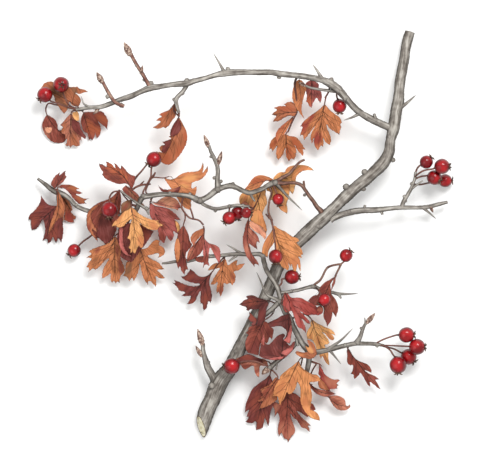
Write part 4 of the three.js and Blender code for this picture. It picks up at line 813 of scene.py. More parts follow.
# %% All the haws on their stalks
HAWS = [
    "44.5 94.5 12, 7.3, -1 -1 0.3, 50 100.5 13, 57 103 13.6, 64 105.6 14, 77 109.5 15",
    "61 84.5 13, 7.6, 0.1 -0.1 1, 64 96 12, 70 106 12, 80 108.6 13.4, 82 108.6 15.6",
    """
        154 159.5 24, 7.2, -1 -1 0.2, 152 167 24.4, 151 177 25.4, 147 185 25.8, 143.5 192 25.4,
        143 197 23.4""",
    "339.5 106 17, 6.7, 0 -1 0.2, 337.5 99 19, 336.5 95 21.6, 338 90 24",
    "426.5 162 14, 6.3, 1 1 0.2, 421 165 14.6, 417.5 168 15, 415.5 173 15.4",
    "442 166.5 17, 7.3, 1 0 0.3, 434 168.5 17, 424 170.5 17.4, 418 174 17.4, 415 177 15.6",
    "434.5 177.5 12, 7, 1 -0.6 0.7, 428 175.5 12.8, 421 176.5 13.6, 415 179 14.8",
    "446 180.5 4.1, 6.3, 1 0 0, 438 181 4.6, 428 183 7.4, 420 184.5 11.4, 413 184 14.8",
    "73.5 250.5 4.1, 6.3, -1 -1 0, 77 247 5, 82 242 6.6, 92 234.5 8.6, 98 225 9.6, 99 214 11.2",
    "109.5 210 22, 7.7, 0 -1 0.4, 110 203 22.4, 110 197 23.4, 114 192 25, 121.5 191.4 25.4",
    "229 218 30, 6.2, -1 -1 0.4, 229.5 212 28.8, 230 206.5 26",
    "237.5 213 23.4, 6.2, 0 -1 -0.2, 237.5 208 24.8, 238 206 26",
    "246 213 30, 5.2, 1 -0.2 0.3, 250 210.5 29.4, 252 208 28, 248.5 206.5 26.8",
    "278 199.5 27, 5.5, 0.2 -1 0.2, 277 194 28.2, 274.5 189 28.4, 272.5 184 26.4",
    "275.5 256.5 28, 6.7, 0 -1 0.3, 275.5 250 28.4, 275 243 28, 273.5 232 26.8, 271.6 220 24.4",
    "292 277 19, 7, 1 0 0.2, 285 278.5 19.4, 282 279 20.4, 281.6 283 22, 277.4 287.5 22.7",
    """
        231.5 366 20, 7.7, -1 0 0.2, 240 362.5 19.6, 247 361 19, 256 361.5 18.6, 264 364.5 18.4,
        270.5 367.4 16.2""",
    "406.5 335 15, 7.5, 1 0 0.2, 397 335 15.8, 390 337 16.6, 382 340 17.2, 375 344 16.6",
    "417 347 16, 7.7, 1 0 0.3, 409.5 346.5 16.4, 400 346 16.2, 392 345.6 16, 382.6 345.4 16.1",
    "409 357 9, 7.5, 1 -1 0.3, 402 353 11, 394 349 12.8, 384 346.5 13.8, 377.5 344.3 16.4",
    "398 365 15.5, 8.2, 0 -1 0.3, 394 356 17, 390 350 18.2, 385 346.5 18.4, 380 344.8 16.4",
    "346 255.5 20, 6.2, 1 1 0.2, 344 261 20.6, 340.6 264.2 21.4",
    "324 299.5 28, 6, -1 -1 0.3, 321.5 295 28, 318 289.8 26.4, 315.5 287 21.8",
]
for haw in HAWS:
    add_haw(haw)
for face in [*haws_bm.faces, *crowns_bm.faces]:
    face.smooth = True
haw_names = [f"haw_{i:02d}" for i in range(1, len(HAWS) + 1)]
haw_bodies = finish_piece(haws_bm, "haw_bodies", [haw_skin], haw_names)
finish_piece(crowns_bm, "haw_crowns", [calyx_skin])
finish_piece(stalks_bm, "haw_stalks", [stalk_skin])
print("haws:", len(HAWS), "faces:", len(haw_bodies.data.polygons))

# %% [markdown]
# ## A leaf's outline
# A hawthorn leaf has three to seven lobes with deep bays. Its outline is given on the sheet as a
# ring of points from the base: a plain pair is a smooth stretch of the edge, and a pair with a
# ^ behind it is the tip of a lobe. A smooth curve runs through them and breaks at each tip. Then
# small teeth are cut along it. Drawing each tooth by hand would give the same look with ten
# times the points.

# %% The rim
TOOTH = 4.4                        # squares from tooth to tooth
TOOTH_DEEP = 0.7                   # and how far a tooth stands out
SMOOTH_FOOT = 0.3                  # the share of a leaf from its base that has no teeth
RIM_STEP = 1.1                     # squares between points of the rim
BEND_AT_TIP, BEND = 0.36, 0.18     # how far the curve keeps its direction
BEND_LONGEST = 0.42


def read_marks(text):
    """Read "x y, x y^" as points of an outline, each with whether it is a tip."""
    marks = spots(text.replace("^", " 1"))
    return [(Vector(mark[:2]), len(mark) > 2) for mark in marks]


def leaf_rim(base, marks, teeth):
    """Points of the rim on the sheet, in squares."""
    ring, is_tip = zip((base, True), *marks)
    count = len(ring)
    area = sum(a.cross(b) for a, b in zip(ring, ring[1:] + ring[:1]))
    turn = 1 if area > 0 else -1       # which side of the ring is out
    rim = []
    travelled = 0
    long = max((spot - ring[0]).length for spot in ring)
    for i in range(count):
        start, end = ring[i], ring[(i + 1) % count]
        span = end - start
        leave = span * BEND_AT_TIP if is_tip[i] else (end - ring[i - 1]) * BEND
        after = ring[(i + 2) % count]
        reach = span * BEND_AT_TIP if is_tip[(i + 1) % count] else (after - start) * BEND
        longest = span.length * BEND_LONGEST
        leave = leave.normalized() * min(leave.length, longest) if leave.length else leave
        reach = reach.normalized() * min(reach.length, longest) if reach.length else reach
        steps = max(2, round(span.length / RIM_STEP))
        line = geometry.interpolate_bezier(
            start.to_3d(), (start + leave).to_3d(), (end - reach).to_3d(), end.to_3d(), steps + 1)
        for k, spot in enumerate(line[:-1]):
            spot = spot.to_2d()
            along = (travelled + span.length * k / steps) / TOOTH % 1
            if (end - ring[0]).length < (start - ring[0]).length:
                along = 1 - along      # teeth point towards the tip on both sides
            deep = min(1, min(k, steps - k) / 2)
            deep *= min(1, max(0, ((spot - ring[0]).length / long - SMOOTH_FOOT) * 4))
            out = Vector((span.y, -span.x)).normalized() * turn
            rim.append(spot + out * (along - 0.6) * TOOTH_DEEP * teeth * deep)
        travelled += span.length
    return rim


def inside(spot, rim):
    """Whether a point of the sheet lies inside the rim."""
    crossings = 0
    for a, b in zip(rim, rim[1:] + rim[:1]):
        if (a.y > spot.y) != (b.y > spot.y):
            crossings += spot.x < a.x + (spot.y - a.y) / (b.y - a.y) * (b.x - a.x)
    return crossings % 2 == 1

# %% [markdown]
# ## A leaf
# The blade starts as one flat face inside its rim. It is cut by two sets of planes, along and
# across the leaf, so that it has enough points to bend. Then it is shaped: it runs from the
# height of its base to that of its tip, some fold along the midrib, it ripples, and it puckers
# up between the veins. It is thickened last, so that the top and the underside match. The veins
# are thin bars laid on the blade.

# %% The blade and its veins
BLADE = 0.22                       # mm thick
CELL = 1.7                         # squares between the cuts
RIB_STEPS = 12                     # pieces of a midrib
RIB_SAGS = (0.02, -0.05, 0.08, -0.11, 0.14, -0.17, 0.2, -0.24, 0.28, -0.33)
VEIN_PAIRS = 4                     # minor veins on each side
VEIN_SLOPE = math.radians(42)      # from the midrib
VEIN_THICK = {"midrib": 0.55, "lobe": 0.36, "minor": 0.2}
VEIN_LONGEST = 40                  # squares, of a minor vein
PUCKER = 0.32                      # mm that the blade stands up between veins
PUCKER_WIDE = 3.0                  # squares from a vein to the full height
WAVES = 0.07                       # waves of the blade in a square
HEEL_BACK = 0.25                   # from where the grain fans out, in lengths behind the base
GRAIN_ACROSS, GRAIN_ALONG = 0.75, 0.1
PATCH_WIDE, PATCH_LONG = 0.8, 1.8  # the shape of a patch of blush
PATCH_RAGGED = 0.45
BLUSH_MOST, RIM_MOST = 0.9, 0.95   # how much of the other tone shows there
STALK, STALK_END = 1.0, 0.75       # mm thick, and where it joins the blade


def curve_on_sheet(start, end, sag, steps=7):
    """A slightly arched line on the sheet."""
    aside = (end - start).orthogonal() * sag
    return [start.lerp(end, i / steps) + aside * math.sin(math.pi * i / steps)
            for i in range(steps + 1)]


def midrib(base, tip, rim):
    """The least bent line from base to tip that stays on the blade, or the part that does."""
    lines = [curve_on_sheet(base, base.lerp(tip, 0.96), sag, RIB_STEPS) for sag in RIB_SAGS]
    for line in lines:
        if all(inside(spot, rim) for spot in line[2:]):
            return line
    line = lines[0]
    kept = 3
    while kept < len(line) and inside(line[kept], rim):
        kept += 1
    return line[:kept]


def leaf_veins(base, tip, tips, rim):
    """The midrib, a vein to each lobe, and minor veins, as lines on the sheet."""
    axis = tip - base
    rib = midrib(base, tip, rim)
    veins = [("midrib", rib)]

    def on_rib(share):
        return rib[min(len(rib) - 1, round(share * RIB_STEPS))]

    for lobe in tips:
        share = (lobe - base).dot(axis) / axis.length_squared
        side = 1 if axis.cross(lobe - base) > 0 else -1
        for forked_at in (0.5, 0.3, 0.1, 0.02):
            start = on_rib(max(0.03, min(0.75, share * forked_at)))
            line = curve_on_sheet(start, start.lerp(lobe, 0.93), -0.06 * side)
            if all(inside(spot, rim) for spot in line[1:]):
                veins.append(("lobe", line))
                break
    for i in range(VEIN_PAIRS):
        start = on_rib(0.2 + 0.62 * i / VEIN_PAIRS)
        for side in (1, -1):
            ray = axis.normalized()
            ray.rotate(Matrix.Rotation(VEIN_SLOPE * side, 2))
            reach = 2
            while reach < VEIN_LONGEST and inside(start + ray * (reach + 2), rim):
                reach += 1
            if inside(start + ray * reach, rim):
                veins.append(("minor", curve_on_sheet(start, start + ray * reach, 0.06 * side)))
    return veins


mass_skins = []                    # the finishes of the mass that is being made


def mass_skin(material):
    """The place of a finish in the mass that is being made."""
    if material not in mass_skins:
        mass_skins.append(material)
    return mass_skins.index(material)


def leaf(tone, blush, base, heights, rim, **more):
    """Write down a leaf: its two tones, its base, the heights of base and tip, and its rim."""
    return {"tone": tone, "blush": blush, "base": base, "heights": heights, "rim": rim, **more}


def flap(tone, blush, base, heights, rim, **more):
    """The same for a part of a blade that is turned over, which has no veins."""
    return leaf(tone, blush, base, heights, rim, ribbed=False, **more)


def add_leaf(bm, seed, tone, blush, base, heights, rim, tip=None, stalk="", patches="",
             cup=0.0, ripple=0.5, teeth=1.0, ribbed=True):
    """Add one leaf to a mass: blade, veins and stalk. A patch, "x y reach", has the blush's tone
    and is drawn out along the veins, which fan from the heel of the blade."""
    base = Vector(base)
    marks = read_marks(rim)
    rim = leaf_rim(base, marks, teeth)
    tips = [spot for spot, is_tip in marks if is_tip]
    far = Vector(tip) if tip else max(tips or rim, key=lambda spot: (spot - base).length)
    patches = spots(patches) if patches else []
    axis = far - base
    long = axis.length
    ahead = axis.normalized()
    aside = Vector((ahead.y, -ahead.x))
    veins = leaf_veins(base, far, [spot for spot in tips if (spot - far).length > 3], rim)
    vein_spots = [spot for kind, line in veins if kind != "minor" for spot in line]

    heel = base - ahead * long * HEEL_BACK

    def fan(spot):
        run = spot - heel
        angle = math.atan2(run.dot(aside), run.dot(ahead))
        return Vector((angle * long * 0.8, run.length))

    def height(spot):
        run = spot - base
        share = run.dot(ahead) / long
        off = abs(run.dot(aside)) / long
        near = min((spot - vein).length for vein in vein_spots)
        puff = PUCKER * (1 - math.exp(-(near / PUCKER_WIDE) ** 2))
        wave = noise.noise(Vector((spot.x * WAVES, spot.y * WAVES, seed * 9.7))) * ripple * 1.6
        low = heights[0] + (heights[1] - heights[0]) * share + 2 * cup * off
        return max(BLADE, low + puff + wave * min(1, 3 * max(off, share)))

    blade = bmesh.new()
    rim_share = blade.verts.layers.float.new("rim")
    blush_share = blade.verts.layers.float.new("blush")
    grain = blade.verts.layers.float_vector.new("grain")
    corners = [blade.verts.new(place(spot.x, spot.y)) for spot in rim]
    outline = [blade.edges.new(pair) for pair in zip(corners, corners[1:] + corners[:1])]
    bmesh.ops.contextual_create(blade, geom=outline)
    bmesh.ops.triangulate(blade, faces=blade.faces, ngon_method="EAR_CLIP")
    for direction in (ahead, aside):
        shares = [(spot - base).dot(direction) for spot in rim]
        cut = min(shares) + CELL / 2
        while cut < max(shares):
            at = base + direction * cut
            bmesh.ops.bisect_plane(
                blade, geom=[*blade.verts, *blade.edges, *blade.faces],
                plane_co=place(at.x, at.y), plane_no=(direction.x, -direction.y, 0), dist=1e-6)
            cut += CELL
    for vert in blade.verts:
        spot = Vector(on_sheet(vert.co)[:2])
        vert.co.z = height(spot) * MM
        vert[rim_share] = RIM_MOST if vert.is_boundary else 0
        turned = fan(spot)
        vert[grain] = (turned.x * GRAIN_ACROSS, turned.y * GRAIN_ALONG, seed * 3.1)
        ragged = noise.noise(Vector((turned.x * 0.6, turned.y * GRAIN_ALONG, seed)))
        for x, y, reach in patches:
            off = turned - fan(Vector((x, y)))
            gap = Vector((off.x / PATCH_WIDE, off.y / PATCH_LONG)).length / reach
            strong = min(BLUSH_MOST, max(0, 1.5 - 1.3 * (gap + PATCH_RAGGED * ragged)))
            vert[blush_share] = max(vert[blush_share], strong)
    skin = mass_skin(leaf_finish(tone, blush))
    for face in blade.faces:
        face.smooth = True
        face.material_index = skin
        face.normal_update()
        if face.normal.z < 0:
            face.normal_flip()
    bmesh.ops.solidify(blade, geom=[*blade.verts, *blade.edges, *blade.faces],
                       thickness=BLADE * MM)
    flat = bpy.data.meshes.new("blade")
    blade.to_mesh(flat)
    blade.free()
    bm.from_mesh(flat)
    bpy.data.meshes.remove(flat)

    rib_skin = mass_skin(vein_finish(tone))
    for kind, line in veins if ribbed else []:
        last = len(line) - 1
        stations = [(spot.x, spot.y, height(spot) + 0.02, VEIN_THICK[kind] * (1 - 0.6 * i / last))
                    for i, spot in enumerate(line)]
        add_bar(bm, stations, 5, 1.6, material=rib_skin)
    if stalk:
        inner = base.lerp(far, 0.12)
        way = [*[(*spot, STALK) for spot in spots(stalk)],
               (base.x, base.y, height(base) - 0.1, STALK_END),
               (inner.x, inner.y, height(inner), VEIN_THICK["midrib"])]
        add_bar(leaf_stalks_bm, way, 8, 1.0, relief=0.5)


leaf_stalks_bm = bmesh.new()


def grow_mass(name, stem, leaves, bars=()):
    """One mass of leaves in the place of its plain solid; its short stem joins the stalks."""
    mass_skins.clear()
    bm = bmesh.new()
    for layer in ("rim", "blush", "flank"):
        bm.verts.layers.float.new(layer)
    bm.verts.layers.float_vector.new("grain")
    for way in [stem, *bars]:
        add_bar(leaf_stalks_bm, spots(way), 8, 1.0, relief=0.6)
    for i, told in enumerate(leaves):
        add_leaf(bm, seed=len(name) + 3 * i, **told)
    piece = finish_piece(bm, "foliage_" + name, mass_skins, [name])
    print(name, "leaves:", len(leaves), "faces:", len(piece.data.polygons))

# %% [markdown]
# ## The masses of the upper bough
# Every mass hangs on one short stem from its bough. Each leaf is written down with its tone and
# its blush, its base, the heights of base and tip, and the points of its rim. Leaves further
# from the sap dry first, so the tips are the darkest. Where a dry blade has curled over, the
# part that is turned is a flap of its own, without a midrib, in the tone of the underside.

# %% Leaves of the tip
grow_mass("leaves_tip", "83 109 15.2 1.6, 82.5 110 12 1.4, 80.5 110 9.6 1.3", [
    leaf("orange_brown", "brown", (78, 107), (9.2, 4.7), tip=(41, 86), stalk="80.5 109.5 9.4",
         patches="56 92 5, 62 104 6, 74 90 4", rim="""
        80.5 100, 78 95.5, 75 92.5, 79 93.7, 83.5 92.2, 88 91.5^, 83.5 89.2, 79.5 88.4, 77 86.3^,
        72 86.6, 66 86, 56 82.3, 49 81, 43.5 82.6, 40.5 87^, 47 90.5, 53 95.5, 54.5 100.5, 58.5 107,
        63.5 113.5^, 67 109.5, 67.6 105, 69.3 101.4, 72 105"""),
    leaf("red_brown", "salmon", (46, 114), (3, 0.3),
         stalk="80 110 9, 66 107 6.4, 54 104 4.4, 47.5 103 3.6, 45 108 3.2", patches="45 134 4",
         rim="""
        42.5 120, 41.2 125.5, 43 131.5, 47 137.5, 52 141.6, 58 142.8, 63 141.5, 66 137^, 62 130,
        57.5 129.5, 56.8 124.5, 54.5 119.5, 50 116.2"""),
    flap("pale", "pale", (43, 127), (3, 3.2), rim="""
        47 126.6, 51.2 126.8, 50.8 131, 49.2 133.4^, 46 132.4"""),
    leaf("salmon", "orange_brown", (70.8, 113), (9, 2.4),
         stalk="80 110.5 9.2, 76 110.5 9.6, 72.5 110.5 9.4", patches="73 140 5, 63 127 4", rim="""
        66.5 117, 63 121.3, 59.4 124.8^, 62.2 127, 60.4 130.5, 61 133, 64 134.2, 64.8 139.2^,
        66.3 138.6, 66 142, 64.3 144.6^, 66.3 146.4^, 68 145.3, 69.7 147.6^, 72.3 144.7, 75.5 146.2^,
        79 145.4^, 79.5 139, 80.8 141^, 80.6 135, 79 128, 76 121"""),
    flap("maroon", "maroon", (71.8, 119), (8.6, 5.2), rim="""
        78.5 122, 80.3 128, 83 133, 85.5 136, 84.6 138.8^, 81.5 136.6, 78 134, 73 130, 71.3 124"""),
    flap("gold", "gold", (72, 112), (9.8, 9), rim="""
        77 111.5, 78.6 115, 78.3 121.3^, 75 119.5, 72.3 116.5"""),
    leaf("red_brown", "red_orange", (83, 112), (8, 1.2), tip=(91.6, 139.9), stalk="81 110 8.6",
         patches="90 127 6, 97 130 4, 102 118 5", rim="""
        94 111.5, 101 111, 105.5 115.5, 107.6 120.5, 107 125, 106.8 129.4^, 104.5 126.5, 101 124,
        97.4 121, 99.6 125, 100.4 130, 98.8 135, 96 137.9^, 95.3 135, 94.5 132.3, 93.8 136,
        91.6 139.9^, 89.7 138.4, 87.9 139.9^, 87.4 136, 86.6 132.7, 83.5 131.3, 81.3 126, 80.5 119"""),
])

# %% Leaves of the spur
grow_mass("leaves_spur", "179 113 24 1.5, 179 117 23.2 1.3", [
    leaf("orange_brown", "red_orange", (175, 104), (22.6, 15.7), tip=(152.8, 127.5),
         stalk="178.5 116 23.2, 174 111 22", patches="163 114 5, 170 110 3", rim="""
        171.5 108, 168 110.8, 163 112.6, 159 115^, 161.8 116.8, 158.5 118.5, 156 120.6^, 160.6 121.5,
        157.5 124.6, 152.8 127.6^, 157 128.8, 160.5 128.4, 163.3 127.1, 165.6 128.3^, 169 125.5,
        172 121, 175.5 116.5, 176.6 110"""),
    leaf("orange_brown", "red_orange", (179, 117), (22, 14.2), cup=0.8, stalk="179 115 23.2",
         patches="186 137 5, 181 154 6, 166 160 6", rim="""
        183 124.5, 186.3 131, 187.3 137.5, 186.4 143.5, 183.5 149.5, 179.5 155.5, 174 161.5,
        169.5 164.6, 165 164.4, 161 162^, 159.5 157, 156 151.5^, 162 152.3, 160.3 150.5, 159.3 148^,
        161.5 145.6, 165 144.8, 162.2 141.9^, 166.5 140.8, 171 138.8, 168.8 136.6^, 171.5 135, 173 128,
        176 121"""),
    flap("maroon", "maroon", (178.5, 119), (22.4, 19.4), rim="""
        181.3 125, 180.6 130.5, 178 134, 174.5 136, 170.6 137^, 170.2 132.5, 172.3 127, 175 122.3"""),
    flap("maroon", "maroon", (171, 139.5), (18.9, 16.8), rim="""
        170 146, 165 152.5, 161.3 151.3, 159.6 148^, 161.8 146, 165 144.9, 162.6 142^, 166.5 141"""),
])

# %% Leaves of the upper right
grow_mass("leaves_upper_right", """
    297 77 27.6 1.8, 294.5 84 21 1.5, 296 95 18.6 1.3, 297 111 15 1.2, 292 122 12.6 1.2,
    288 132 11.4 1.1""", [
    leaf("orange", "orange_brown", (299, 79.5), (20.4, 15.2), ripple=0.3,
         patches="301 96 4, 301 108 3", rim="""
        295.5 82.5, 293 88.5, 292.1 95, 293 101, 296.5 108.5, 300.5 114.3, 304.6 119.2^, 302.3 113.5,
        301.7 108, 303 100, 305 93, 306.3 88, 303 82"""),
    leaf("rose", "red_orange", (312, 80), (19.2, 15.2), patches="309 100 4", rim="""
        318.4 84, 318.8 88.5, 321.5 93, 321.8 98, 320.2 103.4^, 318.6 100.6, 316.8 98, 314.3 101,
        312.6 104, 311.8 107.8^, 309.3 106.2, 308 103.4, 306 101.4^, 306.9 96, 305.6 90, 306 83"""),
    leaf("orange_brown", "red_orange", (297, 112), (16.6, 10.2), tip=(271.5, 114.6),
         stalk="297 112.5 15", patches="286 108 6", rim="""
        295.5 106, 292.6 102.4, 288 102, 283.6 104.2^, 285.8 105.9, 279.5 106, 273.8 107.6^, 277 109.8,
        274 112, 271.5 114.6^, 276.2 115.8, 274.5 118.5, 273 121.6^, 279 120.8, 284.5 117.5,
        289.5 115.7, 294 116"""),
    leaf("red_orange", "orange", (294, 115), (14.7, 12.7), stalk="296.5 112 15",
         patches="288 125 4, 282 134 4", rim="""
        289.5 119.5, 283 124.6, 278 129.2, 275.8 134, 275.7 138, 277.4 142.2^, 281 137.5, 285 133.5,
        288.5 127, 291.5 121"""),
    leaf("orange", "red_orange", (286, 134), (11.2, 4.2), tip=(289, 161), stalk="289 130 11.6",
         patches="296 143 6, 289 152 5, 274 143 4", rim="""
        289.5 135.8, 296 137, 300.5 141.5, 305.5 149.4^, 303 149, 303.8 152.5, 302.8 155.6^, 298 150.5,
        294.8 145, 296.4 150, 296 155.5, 294.4 159.6^, 291.6 158.3, 289 161^, 286.6 157, 285.9 152,
        285.3 147.8, 283.6 153.5, 281 157, 278.5 160.2^, 276.3 155, 276.4 150, 277.2 145.8, 274.5 149,
        272.7 151.7^, 271.2 148.3, 269.5 149.8^, 269.8 144, 272.5 139, 278 135.5"""),
])

# %% The broad leaf
grow_mass("leaf_broad", "330 84.5 24 1.4, 329 90 20.2 1.3, 328 93 19.6 1.2, 325 98 19.8 1.2", [
    leaf("orange", "red", (324.5, 104), (19.8, 8.2), cup=1, stalk="326 96 19.8",
         patches="304 126 6, 311 118 4, 317 139 5", rim="""
        321 108, 315.5 112.3, 309 116.8, 304 121.3, 300.2 126.4^, 302.6 127, 301 132, 300 136.3^,
        302.6 134.8, 304.4 139.9^, 307.5 136, 311.5 130.6, 315.2 125.3, 312 132, 310.6 137.5,
        311.9 143.5^, 314 138, 314.3 143, 315.5 146.8, 318.3 150.2^, 321.4 145.3, 322.9 147^,
        323.7 143, 323.2 138.3, 326 142.3, 330.2 144.9^, 331.1 139, 329.3 133, 327.2 128.5,
        326.7 124.6, 330 128.7, 334.5 131.5, 339.5 134.8^, 340 130.5, 341.3 127^, 340.3 124.4,
        341.8 122.7^, 340 118.3, 335 114.3, 330 110.3, 327 107"""),
])
# %% [markdown]
# ## The masses of the middle bough
# The middle bough carries most of the leaves. They hang at several heights: the large brown and
# dark ones lie lowest, and the bright ones on top, where the light still reaches them.

# %% Leaves at the left end
grow_mass("leaves_left", "57 192 9.4 1.8, 57 191 11.4 1.5", [
    leaf("red_brown", "maroon", (54.5, 188.5), (11.4, 5.2), stalk="57 191 11.2", patches="60 176 4",
         rim="""
        50.8 184.6, 52.3 179.5, 55 175.3, 59.2 172^, 59 175.2, 62 172.4, 65.5 170^, 64.6 174.2,
        66 176.4^, 63.5 180.8, 60.2 184"""),
    leaf("red_brown", "orange_brown", (58, 186.8), (11.5, 5.2), stalk="57 191 11",
         patches="73 188 4, 81 199 4", rim="""
        61 184.8, 66 184.5, 71 185, 75 186.6, 79 188.8^, 76 189.8, 82.3 193^, 79.5 194, 75.5 194.2,
        80 197, 84.5 198.5, 88.8 198.3^, 84 201, 86.2 203.7^, 82 203.6, 78.5 204, 72.5 198, 69 193,
        64 188.6"""),
    leaf("maroon", "red_brown", (57, 206), (8.2, 0.4), tip=(30.7, 230.3),
         stalk="56.6 192 11, 56.6 199 9", patches="33 220 5, 38 208 4, 53 234 5", rim="""
        51 205.4, 47 204, 43.5 200, 40.5 195.2^, 40 200, 38 205, 33 211, 29 214.5, 27 219.4^,
        29.8 220.3, 29.8 224.5, 30.7 230.3^, 35 229, 38.5 225, 41.8 219.5, 43.8 225, 44 232,
        41.5 240.8^, 45.8 239.2, 46.8 243.4^, 50 241.5, 52 237.3, 55.3 243.6^, 57.5 238.5, 60.5 242.8^,
        62 237, 62.7 230, 62 220, 61 212"""),
    leaf("orange_brown", "orange", (57.5, 191), (12, 3.6), teeth=0.4, stalk="57 191 11.8",
         patches="61 207 3, 52 222 3", rim="""
        56.9 197, 56.5 204, 54 212, 51 220, 48.6 228, 47.4 234.6^, 50.8 229.5, 54 223.5, 55.5 221.5,
        57.5 224.5, 59.8 232^, 62 224, 63.6 215, 64.2 207, 62.5 200, 59.8 194.5"""),
    leaf("orange_brown", "red", (58, 191), (7.2, 1.2), tip=(75.4, 216.8), teeth=0.5,
         stalk="57 191 10.8", patches="69 217 5", rim="""
        62.5 192.8, 67 199, 70.2 204.5, 71.8 210^, 70 211.8, 75.4 216.8^, 74.6 219.3, 72.6 219.4,
        73.7 222.5^, 69 222.2, 63 219.8^, 64.3 212, 62.5 202"""),
])

# %% Leaves left of the middle
grow_mass("leaves_centre_left", "138 206 20.4 1.8, 134.5 205.5 21.6 1.6, 132.5 205 22.4 1.5", [
    leaf("red_brown", "red_orange", (132, 190), (22.6, 20.2), tip=(98.8, 163.4),
         stalk="132 203 22.4, 130.5 196 22.6", patches="112 168 5, 124 175 5", rim="""
        134.3 184, 135.8 179, 135.3 176.3, 132 175.2, 128.5 173, 124.5 168.3, 121.2 165.2^,
        120.5 168.8, 117.5 165.3, 114 162.7^, 115.6 168.2, 111.5 164, 106 161.3^, 106.8 166.8,
        103 164.6, 99 163.4^, 100.3 168, 103.2 172.3, 102.2 174.8^, 106 179, 112 182, 119 184.2,
        125.5 183.6, 129 185.5"""),
    leaf("red_brown", "brown", (126, 185.5), (22.8, 22.4), teeth=0.3, patches="132 194 3, 140 202 4",
         rim="""
        122.6 189.5, 127 194.8, 132 199.5, 138 203.8, 145.5 206^, 142.5 203, 140.3 198.3, 137.5 193.8,
        133 190.2"""),
    leaf("red_brown", "orange_brown", (119, 190), (16.6, 12.6), tip=(105.5, 244.5), cup=0.6,
         stalk="132 204.5 22.2, 125 197 18.6", patches="112 205 5, 105 212 5", rim="""
        112 197, 106 200, 99 202.6, 93 206.5, 89 210.5, 86.8 215, 86.2 221, 87.2 228, 90.3 233.3,
        94 237.5, 98 242.2^, 97.2 237.8, 101 240.5, 105.5 244.5^, 111 240.5, 115 234, 118.5 220,
        120.8 205, 121 196"""),
    flap("orange_brown", "red_brown", (101, 204), (16.7, 13.9), patches="88 228 3, 97 209 3", rim="""
        94 206.5, 89.5 210.5, 87.2 215, 86.6 221, 87.5 228, 90.3 233, 97.6 241.5^, 95 236, 92 229.5,
        97 231.5, 91.5 220.5, 91 214, 96 208"""),
    flap("maroon", "maroon", (102, 213), (16.2, 14), rim="""
        99 220, 97.5 230, 97.5 236.5, 105.5 244^, 111 240, 114.6 234, 114.5 228, 112 224, 108 218"""),
    flap("brown", "red_brown", (131.4, 199.5), (22.4, 20.4), patches="126 206 3", rim="""
        126 201, 121.5 204.6, 121.2 211, 122.4 218^, 127 213.5, 132 207.5"""),
    leaf("yellow", "orange", (131.8, 207), (23.6, 26.2), tip=(132.5, 253.6), cup=0.6,
         stalk="132.5 204.8 22.6, 131.3 203 23.2",
         patches="120 217 5, 154 226 5, 142 243 5, 134 212 4", rim="""
        128 209.7, 124 212.2, 120.5 216, 117.5 219.3, 114.5 222, 112 227^, 116 226.2, 118.8 227.6,
        124 226, 128 221.8, 131.6 219.4, 130.3 227, 129.5 234, 127.3 238.4^, 130 239.7, 130.6 243.5,
        128.4 248.6^, 130.9 249, 130.2 253.8^, 132.6 252, 135.4 253.8^, 138.7 246.6, 141.3 248.3,
        143.2 247.2^, 144.3 240, 143 232, 140 223.8, 144 226.5, 149 229.2, 154 230, 158.4 229.6^,
        158.8 227.6, 164 225.3^, 158.2 222, 159.8 220.5^, 154 220, 147 217.8, 140 214, 135.5 210"""),
    leaf("maroon", "red_brown", (136, 222), (21.8, 18.2), patches="147 234 6", rim="""
        126 224, 119.5 226.3, 118.3 232, 117 238, 118.7 244, 121 250, 120.6 256.5, 126 260.2,
        131.5 262.2^, 136 257, 141 250, 145 245, 149.5 238.5, 154 231.5^, 148 228"""),
    flap("rose", "rose", (119.5, 227), (22.2, 19.8), rim="""
        123 227.5, 122.8 236, 123.8 245, 127 252, 132 256.3^, 126.5 255.3, 121.8 250.5, 119.3 244,
        119.4 236"""),
    leaf("orange", "red_brown", (115, 236), (16.8, 4.2), cup=0.5,
         stalk="133 214 22, 126 226 18.6, 119 233 17",
         patches="117 250 4, 120 262 4, 121 270 3, 98 249 3", rim="""
        111 240.8, 105 244.6, 97 247.3, 91 249.8, 88.6 251.8^, 91.2 254, 86 257.8^, 91.3 258.5,
        88.5 262.5, 86 267.2^, 88.5 268.2, 87.7 272.5^, 92.5 268.7, 95.2 269.9^, 100 266, 104.5 261,
        108.9 258.3, 105.8 264, 102.6 270, 101.4 278.9^, 106 276.5, 110.4 273.8, 110 279, 111.5 283.3^,
        113.3 281.2, 115.4 284^, 117 281.6, 119 283.2^, 120.2 276.3, 124.4 271, 123.5 265.5,
        120.3 257.5, 121 250, 118 241"""),
    leaf("orange", "brown", (140, 249), (14.2, 3.2), stalk="137 226 20.6, 138 240 16",
         patches="129 270 5", rim="""
        146 248.4, 149.5 245.3, 152.5 242, 156 239.8, 159.9 240.8^, 159 244.9, 163 247.3, 165 251,
        163.5 255, 157.2 258.2^, 159 255.5, 157.8 253.2, 152 254.7, 147.5 255.8, 152 259.5, 158 262.5,
        164.2 269.4^, 157.3 270.2, 160.5 273.8, 165 278.3^, 160 278.6, 155.5 276.3, 156 281.5,
        155.6 287.3^, 149.2 281, 147.4 285^, 143.5 279, 141.2 271, 139.7 263.8, 138.6 270, 136.2 276.5,
        133.5 281.4^, 132 278, 129 281.4^, 127 277.7, 123.1 275.9^, 125 272, 125.2 266, 127 261.8,
        132 261, 134 254"""),
], bars=[
    "147.3 164.2 23.4 1.1, 142 171 23.4 1.2, 136 177.8 22.6 1.4, 134.5 181 22.2 1",
    "132 190 23 1.3, 138 186.4 24 1.4, 144 184.8 24.6 1.3, 151 184.3 25 1",
    "139.5 186 24.2 1.2, 142 183.6 24.6 1.1, 144.3 181.2 25 0.7",
])
